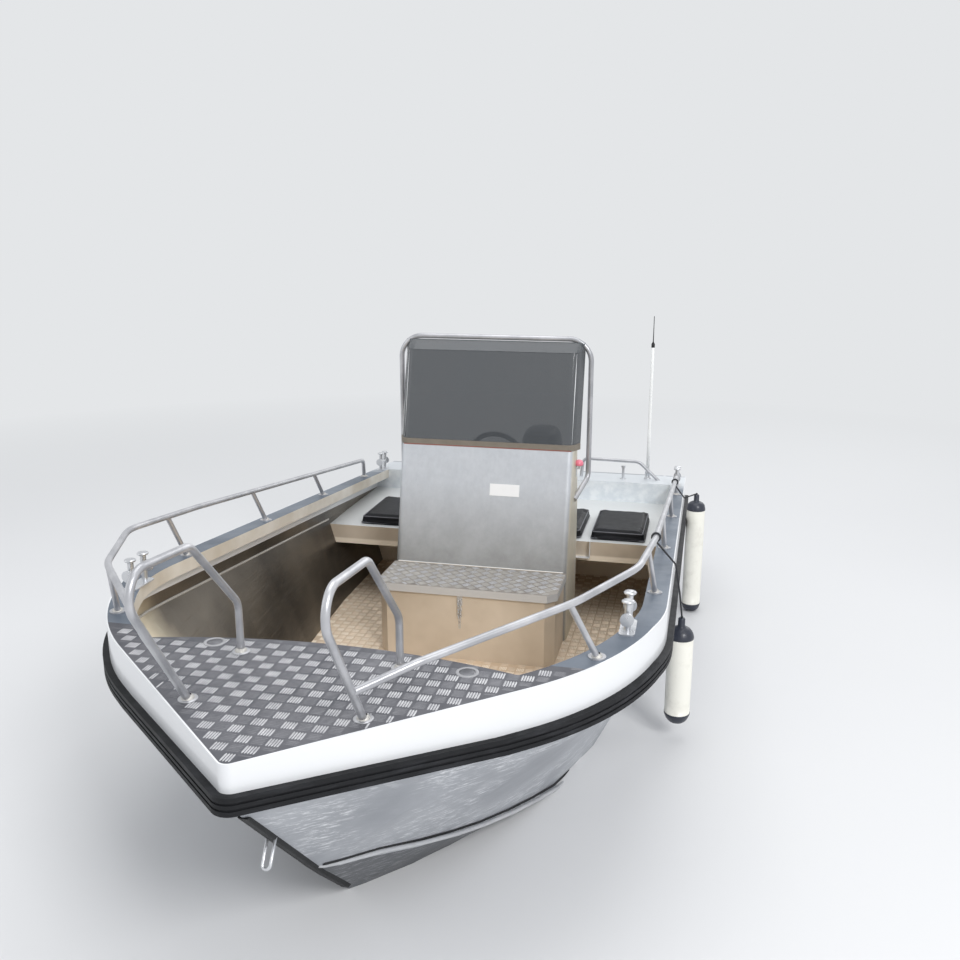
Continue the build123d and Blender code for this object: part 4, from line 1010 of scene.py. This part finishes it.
def blow_up(obj, voxel, floor_z):
    remesh = obj.modifiers.new("remesh", "REMESH")
    remesh.mode = "VOXEL"
    remesh.voxel_size = voxel
    solid_copy(obj)
    rest = [v.co.copy() for v in obj.data.vertices]
    held = obj.vertex_groups.new(name="held")
    held.add([i for i, p in enumerate(rest) if p.z < floor_z + voxel], 1.0, "REPLACE")
    cloth = obj.modifiers.new("cloth", "CLOTH")
    cloth.settings.quality = 5
    cloth.settings.mass = 0.3
    cloth.settings.tension_stiffness = 12
    cloth.settings.compression_stiffness = 12
    cloth.settings.bending_stiffness = 1.5
    cloth.settings.use_pressure = True
    cloth.settings.uniform_pressure_force = 4
    cloth.settings.vertex_group_mass = "held"
    cloth.settings.effector_weights.gravity = 0
    for moment in range(1, blow_moments + 1):
        scene.frame_set(moment)
    blown = obj.evaluated_get(bpy.context.evaluated_depsgraph_get()).to_mesh()
    ends = [v.co.copy() for v in blown.vertices]
    obj.modifiers.clear()
    scene.frame_set(1)
    for vertex, start, end in zip(obj.data.vertices, rest, ends):
        move = end - start
        across = Vector((move.x, move.y, 0))
        if across.length > swell:
            across = across * (swell / across.length)
        rise = max(min(move.z, swell_up), 0 if start.z < floor_z + 2 * voxel else -swell_up)
        vertex.co = start + across + Vector((0, 0, rise))


def piping(name, obj, low, high, z):
    mesh = obj.data
    tree = BVHTree.FromPolygons([v.co for v in mesh.vertices], [tuple(p.vertices) for p in mesh.polygons])
    points = []
    for point in slab_ring(low, high, pad_corner, -0.06, z, 12):
        near = Vector((max(min(point.x, high.x - 0.05), low.x + 0.05),
                       max(min(point.y, high.y - 0.05), low.y + 0.05), z))
        inward = (near - point).normalized()
        hit = tree.ray_cast(point, inward, 0.2)
        if hit[0]:
            points.append(hit[0] - inward * piping_sink)
    bead_line = split_long(points + points[:1], piping_step)[:-1]
    bead = tube_along(bead_line, piping_radius, 8, closed=True)
    bead.make(name, "hull", "piping_painted_highlight", "black_vinyl", True)


for place in ("port", "middle", "starboard"):
    node = f"cushion_{place}"
    low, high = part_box(node)
    if place == "middle":
        low.x, high.x = low.x - middle_spread, high.x + middle_spread
    slab = Shape()
    slab.rings([slab_ring(low, high, pad_corner, shrink, low.z + rise) for rise, shrink in pad_levels])
    pad = slab.make(f"{node}_pad", "hull", "black_vinyl", "black_vinyl", True)
    blow_up(pad, middle_voxel if place == "middle" else side_voxel, low.z)
    for face in pad.data.polygons:
        face.use_smooth = True
    smooth = pad.modifiers.new("smooth", "SUBSURF")
    smooth.levels = smooth.render_levels = 1
    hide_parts(node)
    piping(f"{node}_piping_low", pad, low, high, low.z + piping_low)
    piping(f"{node}_piping_high", pad, low, high, low.z + piping_high)


# Antenna: foot, ferrule, straight white mast, dark head and whip
mast_head = 1.606
low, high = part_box("antenna")
antenna_axis = ((low.x + high.x) / 2, (low.y + high.y) / 2, 0)
antenna_base = deck_height(antenna_axis[1])
mast_line = [(antenna_base + 0.075, 0.0112), (1.0, 0.0112), (1.3, 0.0108), (mast_head, 0.0104),
             (mast_head + 0.004, 0.0085)]
foot_line = [(-0.001, 0.024), (0.008, 0.0235), (0.011, 0.017), (0.030, 0.0155), (0.032, 0.0175),
             (0.052, 0.0175), (0.054, 0.0145), (0.078, 0.0130)]
whip_line = [(-0.006, 0.0108), (-0.002, 0.0116), (0.018, 0.0116), (0.026, 0.0070), (0.034, 0.0034),
             (0.094, 0.0028)]
mast = Shape()
mast.turned(antenna_axis, (0, 0, 1), mast_line, 28)
mast_piece = mast.make("antenna_mast", "hull", "antenna_white", "antenna_white", True)
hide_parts("antenna")
antenna_foot = Shape()
antenna_foot.turned(antenna_axis, (0, 0, 1), [(antenna_base + rise, reach) for rise, reach in foot_line], 32)
antenna_foot.make("antenna_foot", "hull", "bright_steel", "bright_steel", True)
whip = Shape()
whip.turned(antenna_axis, (0, 0, 1), [(mast_head + rise, reach) for rise, reach in whip_line]
            + [(high.z - 0.003, 0.0022), (high.z, 0.0012)], 24)
whip.make("antenna_whip", "hull", "gasket_and_painted_shadow", "antenna_white", True)

# Head of the screen: the sheet's last strip, bent back to the hoop's cross bar, with its cheeks
plan_half, plan_flare, plan_depth, plan_round = 0.485, 0.034, 0.084, 0.050
head_top, head_back, head_thick = 1.757, 0.075, 0.004
head_front = screen_low.y + 0.0025 + screen_lean


def screen_outline():
    turn = atan2(plan_depth, plan_flare)
    tangent = plan_round * tan(turn / 2)
    half = [Vector((plan_half - tangent, 0)) + Vector((sin(a), 1 - cos(a))) * plan_round
            for a in (turn * k / 8 for k in range(9))]
    half.append(Vector((plan_half + plan_flare, plan_depth)))
    return [Vector((-p.x, p.y)) for p in reversed(half)] + half


foot_row = [Vector((p.x, head_front + p.y, screen_high.z)) for p in screen_outline()]
top_row = [Vector((p.x, head_front + max(p.y, head_back), head_top)) for p in screen_outline()]
head = Shape()
head.rings([foot_row, top_row], closed=False, cap=False)
head_piece = head.make("screen_head", "hull", "tinted_screen", "tinted_screen")
skin = head_piece.modifiers.new("thick", "SOLIDIFY")
skin.thickness = head_thick
skin.offset = 0

# Lens of the port side light, over the lamp's own body
lens_line = [(-0.034, 0.018), (-0.033, 0.0225), (-0.022, 0.0245), (-0.010, 0.0235), (-0.002, 0.0175),
             (0.002, 0.009), (0.003, 0.0006)]
lens_centre = ((light_low.x + light_high.x) / 2, (light_low.y + light_high.y) / 2, light_high.z)
lens = Shape()
lens.turned(lens_centre, (0, 0, 1), lens_line, 32)
lens.make("side_light_lens", "hull", "red_lens", "red_lens", True)

# Chain over the box's hasp: two strands of links, every other one turned a quarter. Each strand: place
# across, number of links and drop of the first
link_length, link_width, link_wire = 0.022, 0.014, 0.0019
link_pitch = link_length - 3 * link_wire
strands = ((-0.006, 7, 0.016), (0.007, 6, 0.024))


def link(shape, centre, side):
    up = Vector((0, 0, 1))
    face = side.cross(up)
    stretch = (link_length - link_width) / 2
    rings = []
    for k in range(16):
        a = 2 * pi * (k + 0.5) / 16
        outward = side * cos(a) + up * sin(a)
        middle = centre + outward * (link_width / 2 - link_wire) + up * copysign(stretch, sin(a))
        rings.append([middle + (outward * cos(b) + face * sin(b)) * link_wire for b in circle(8)])
    shape.rings(rings + rings[:1], cap=False)


chain = Shape()
hasp_x = (hasp_low.x + hasp_high.x) / 2
for offset, count, drop in strands:
    for k in range(count):
        spot = Vector((hasp_x + offset, hasp_low.y - 0.0055, hasp_high.z - drop - k * link_pitch))
        link(chain, spot, Vector((1, 0, 0)) if k % 2 else Vector((0, 1, 0)))
chain.make("hasp_chain", "hull", "bright_steel", "bright_steel", True)

# Lower part of the bench's front lip, from side to side of the hull
lip_foot, lip_head, lip_thick, lip_gap = 0.452, 0.4855, 0.004, 0.001


def lip_end(side, z):
    hit = hull_trees["port" if side > 0 else "starboard"].ray_cast(
        Vector((0, bench_low.y + 0.002, z)), Vector((side, 0, 0)), 2)
    return side * (abs(hit[0].x) - lip_gap)


lip_corners = ((-1, lip_foot), (1, lip_foot), (1, lip_head), (-1, lip_head))
lip_outline = [(lip_end(side, z), z) for side, z in lip_corners]
lip_plate = Shape()
lip_plate.slab([Vector((x, bench_low.y, z)) for x, z in lip_outline],
               [Vector((x, bench_low.y + lip_thick, z)) for x, z in lip_outline])
lip_plate.make("bench_lip_foot", "hull", "interior_plate", "bare_aluminium")


# Instruments on the dash: dials, a switch panel and a key, in the dash's own plane
dash_face = Vector((0, 0.318, 0.060)).normalized()
dash_up = Vector((0, -dash_face.z, dash_face.y))
dash_edge = Vector((0, console_high.y, 0.86))
Dial = namedtuple("Dial", "x up radius")
dials = [
    Dial(0.255, 0.235, 0.043),
    Dial(0.345, 0.250, 0.027),
    Dial(0.410, 0.250, 0.027),
]
needle_rise, needle_share, needle_half = 0.0045, 0.56, 0.0012
rim_line = [(0.0, 0.005), (0.006, 0.004), (0.008, 0.001), (0.007, -0.002), (0.003, -0.003)]
needle_hub = [(0, 0.004), (0.003, 0.0035), (0.0035, 0.0005)]
key_line = [(0, 0.014), (0.004, 0.0135), (0.006, 0.010), (0.0065, 0.0005)]
lamp_line = [(0, 0.002), (0.001, 0.0015), (0.0012, 0.0003)]
switch_middle, switch_up, switch_face = 0.325, 0.150, 0.003
rocker_count, rocker_start, rocker_pitch = 6, 0.262, 0.0252
block_round = 0.001


def on_dash(x, up):
    return dash_edge + Vector((x, 0, 0)) + dash_up * (up / dash_up.z)


def dash_block(shape, x, up, half_x, half_up, low, high, inset=0.0):
    middle = on_dash(x, up)
    verts = []
    for level, shrink in ((low, 0), (high - block_round, 0), (high, block_round + inset)):
        for sx, su in ((-1, -1), (1, -1), (1, 1), (-1, 1)):
            verts.append(middle + Vector((sx * (half_x - shrink), 0, 0)) + dash_up * (su * (half_up - shrink))
                         + dash_face * level)
    quads = [(3, 2, 1, 0), (8, 9, 10, 11)]
    for row in (0, 4):
        quads += [(row + i, row + (i + 1) % 4, row + 4 + (i + 1) % 4, row + 4 + i) for i in range(4)]
    shape.add(verts, quads)


bezels, faces, needles = Shape(), Shape(), Shape()
for dial in dials:
    spot = on_dash(dial.x, dial.up)
    radius = dial.radius
    bezels.turned(spot, dash_face, [(rise, radius + out) for rise, out in rim_line], 40, False)
    faces.turned(spot, dash_face, [(0.001, radius - 0.001), (0.003, radius - 0.0015), (0.0032, 0.0004)], 40)
    hub = spot + dash_face * needle_rise
    tip = hub + (dash_up - Vector((1, 0, 0))) * radius * needle_share
    side = dash_face.cross(tip - spot).normalized() * needle_half
    needles.add([hub - side, hub + side, tip], [(0, 1, 2)])
    needles.turned(spot + dash_face * 0.003, dash_face, needle_hub, 16)
bezels.make("dial_bezels", "hull", "bright_steel", "bright_steel", True)
faces.make("dial_faces", "hull", "dial_face", "helm_plastic")
needles.make("dial_needles", "hull", "red_mark", "helm_plastic")

plate, rockers = Shape(), Shape()
dash_block(plate, switch_middle, switch_up, 0.085, 0.030, -0.001, switch_face)
for k in range(rocker_count):
    x = rocker_start + rocker_pitch * k
    dash_block(rockers, x, switch_up, 0.0095, 0.020, switch_face, 0.0075, 0.002)
    plate.turned(on_dash(x, switch_up - 0.025) + dash_face * switch_face, dash_face, lamp_line, 12)
plate.turned(on_dash(-0.19, 0.20), dash_face, key_line, 28)
plate.make("switch_plate", "hull", "helm_plastic", "helm_plastic")
rockers.make("rocker_switches", "hull", "gasket_and_painted_shadow", "helm_plastic")

# Grip across the throttle lever's head
grip_line = [(-0.028, 0.004), (-0.026, 0.012), (-0.018, 0.0155), (0.018, 0.0155), (0.026, 0.012),
             (0.028, 0.004)]
grip_spot = Vector((throttle_low.x + 0.010, throttle_high.y - 0.012, throttle_high.z - 0.012))
grip = Shape()
grip.turned(grip_spot, (1, 0, 0), grip_line, 28)
grip.make("throttle_grip", "hull", "gasket_and_painted_shadow", "helm_plastic", True)


# Motor cowl: lower pan, dark seam and a smooth top, on the plain block's own sections, whose corners a power
# of the sine and cosine squares
CowlRing = namedtuple("CowlRing", "z width length shift")
cowl_rings = [
    CowlRing(0.372, 0.250, 0.396, 0.0),
    CowlRing(0.378, 0.266, 0.416, 0.0),
    CowlRing(0.430, 0.278, 0.428, 0.002),
    CowlRing(0.560, 0.300, 0.450, 0.006),
    CowlRing(0.680, 0.301, 0.446, 0.010),
    CowlRing(0.780, 0.293, 0.430, 0.012),
    CowlRing(0.850, 0.274, 0.398, 0.012),
    CowlRing(0.895, 0.240, 0.348, 0.010),
    CowlRing(0.918, 0.186, 0.278, 0.008),
    CowlRing(0.926, 0.104, 0.168, 0.007),
    CowlRing(0.928, 0.020, 0.040, 0.006),
]
cowl_centre = half_length + 0.285
cowl_square = 0.62
pan_levels = (0.372, 0.378, 0.392, 0.410, 0.430, 0.446, 0.452)
seam_low, seam_high, seam_inset = 0.450, 0.464, 0.003
stripe_rings = ((0.600, 0.0002), (0.6005, 0.0008), (0.6275, 0.0008), (0.628, 0.0002))
louvre_count, louvre_foot, louvre_pitch, louvre_height, louvre_half = 5, 0.790, 0.013, 0.006, 0.060
louvre_depth, louvre_stand, louvre_fade = 0.012, 0.0012, 0.0006


def cowl_ring(z, grow=0.0):
    for lower, upper in zip(cowl_rings, cowl_rings[1:]):
        if z <= upper.z:
            break
    share = (z - lower.z) / (upper.z - lower.z)
    width = lower.width + (upper.width - lower.width) * share + 2 * grow
    length = lower.length + (upper.length - lower.length) * share + 2 * grow
    shift = lower.shift + (upper.shift - lower.shift) * share
    ring = []
    for a in circle(64):
        x = copysign(abs(cos(a)) ** cowl_square, cos(a)) * width / 2
        y = copysign(abs(sin(a)) ** cowl_square, sin(a)) * length / 2
        ring.append(Vector((x, cowl_centre + shift + y, z)))
    return ring


def smooth_levels(low, high, steps):
    levels = [low + (high - low) * k / steps for k in range(steps + 1)]
    marks = [r.z for r in cowl_rings if low < r.z < high]
    return sorted(set([round(z, 5) for z in levels + marks]))


pan = Shape()
pan.rings([cowl_ring(z) for z in pan_levels])
pan_piece = pan.make("cowl_pan", "motor", "motor_dark", "motor_dark", True)
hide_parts("engine_cowl")
cowl_seam = Shape()
cowl_seam.rings([cowl_ring(z, -seam_inset) for z in (seam_low, seam_high)])
cowl_seam.make("cowl_seam", "motor", "gasket_and_painted_shadow", "motor_dark", True)
cowl_top = Shape()
cowl_top.rings([cowl_ring(z, g) for z, g in ((0.462, -0.002), (0.4635, -0.0004), (0.466, 0.0))]
               + [cowl_ring(z) for z in smooth_levels(0.470, 0.928, 26)])
top_piece = cowl_top.make("cowl_top", "motor", "motor_grey", "motor_grey", True)
soft = top_piece.modifiers.new("smooth", "SUBSURF")
soft.levels = soft.render_levels = 1
stripe = Shape()
stripe.rings([cowl_ring(z, grow) for z, grow in stripe_rings], cap=False)
stripe.make("cowl_stripe", "motor", "satin_plate", "motor_grey", True)
louvres = Shape()
for k in range(louvre_count):
    z = louvre_foot + louvre_pitch * k
    back = max(p.y for p in cowl_ring(z))
    louvres.box((-louvre_half, back - louvre_depth, z),
                (louvre_half, back + louvre_stand - louvre_fade * k, z + louvre_height))
louvres.make("cowl_louvres", "motor", "gasket_and_painted_shadow", "motor_dark")

# Floor at the waterline, which glows like the backdrop far from the boat
backdrop_colour = chip(228, 230, 232)
floor_size = 60
fade_start, fade_end = 3.4, 10.0


def studio_floor():
    finish = Finish("studio_floor", specular=0.2)
    finish.colour(finish.blend(finish.noise(0.4, 2), chip(214, 214, 215), chip(218, 218, 219)))
    finish.rough(0.8)
    distance = finish.node("VectorMath", {"operation": "LENGTH"}, {0: finish.place}, "Value")
    far = finish.span(distance, fade_start, fade_end)
    glow = finish.tree.nodes.new("ShaderNodeEmission")
    glow.inputs["Color"].default_value = backdrop_colour
    join = finish.tree.nodes.new("ShaderNodeMixShader")
    finish.tree.links.new(far.socket, join.inputs[0])
    finish.tree.links.new(finish.shader.outputs[0], join.inputs[1])
    finish.tree.links.new(glow.outputs[0], join.inputs[2])
    finish.tree.links.new(join.outputs[0], finish.tree.nodes["Material Output"].inputs["Surface"])
    return finish.material


floor_mesh = bpy.data.meshes.new("floor")
floor_corners = [(-floor_size, -floor_size, 0), (floor_size, -floor_size, 0), (floor_size, floor_size, 0),
                 (-floor_size, floor_size, 0)]
floor_mesh.from_pydata(floor_corners, [], [(0, 1, 2, 3)])
floor_mesh.materials.append(studio_floor())
floor = bpy.data.objects.new("floor", floor_mesh)
scene.collection.objects.link(floor)


# World: soft fill for the object, a pale backdrop for the camera, through the screen and in reflections
def background(tree, colour, strength):
    made = tree.nodes.new("ShaderNodeBackground")
    made.inputs["Color"].default_value = colour
    made.inputs["Strength"].default_value = strength
    return made.outputs[0]


def either(tree, first, second):
    made = tree.nodes.new("ShaderNodeMath")
    made.operation = "MAXIMUM"
    tree.links.new(first, made.inputs[0])
    tree.links.new(second, made.inputs[1])
    return made.outputs[0]


def studio_world():
    world = bpy.data.worlds.new("studio")
    world.use_nodes = True
    tree = world.node_tree
    tree.nodes.clear()
    ray = tree.nodes.new("ShaderNodeLightPath").outputs
    seen = either(tree, ray["Is Camera Ray"], ray["Is Transmission Ray"])
    mix = tree.nodes.new("ShaderNodeMixShader")
    tree.links.new(either(tree, seen, ray["Is Glossy Ray"]), mix.inputs[0])
    tree.links.new(background(tree, (0.94, 0.97, 1, 1), 0.75), mix.inputs[1])
    tree.links.new(background(tree, backdrop_colour, 1), mix.inputs[2])
    out = tree.nodes.new("ShaderNodeOutputWorld")
    tree.links.new(mix.outputs[0], out.inputs[0])
    return world


scene.world = studio_world()

# Lamps: a large key from port and ahead, a broad top light, a low fill from starboard, and one from astern
Lamp = namedtuple("Lamp", "name place target size power")
lamps = [
    Lamp("key", (5.5, -6.5, 6.5), (0, 0, 0.6), 3.0, 500),
    Lamp("top", (0, 0.5, 8), (0, 0, 0), 6, 200),
    Lamp("fill", (-7, -3, 3.5), (0, 0, 0.6), 5, 60),
    Lamp("back", (3, 8, 5), (0, 0, 0.6), 5, 120),
]
for lamp in lamps:
    data = bpy.data.lights.new(lamp.name, "AREA")
    data.size = lamp.size
    data.energy = lamp.power
    made = bpy.data.objects.new(lamp.name, data)
    made.location = lamp.place
    made.rotation_euler = (Vector(lamp.target) - Vector(lamp.place)).to_track_quat("-Z", "Y").to_euler()
    scene.collection.objects.link(made)
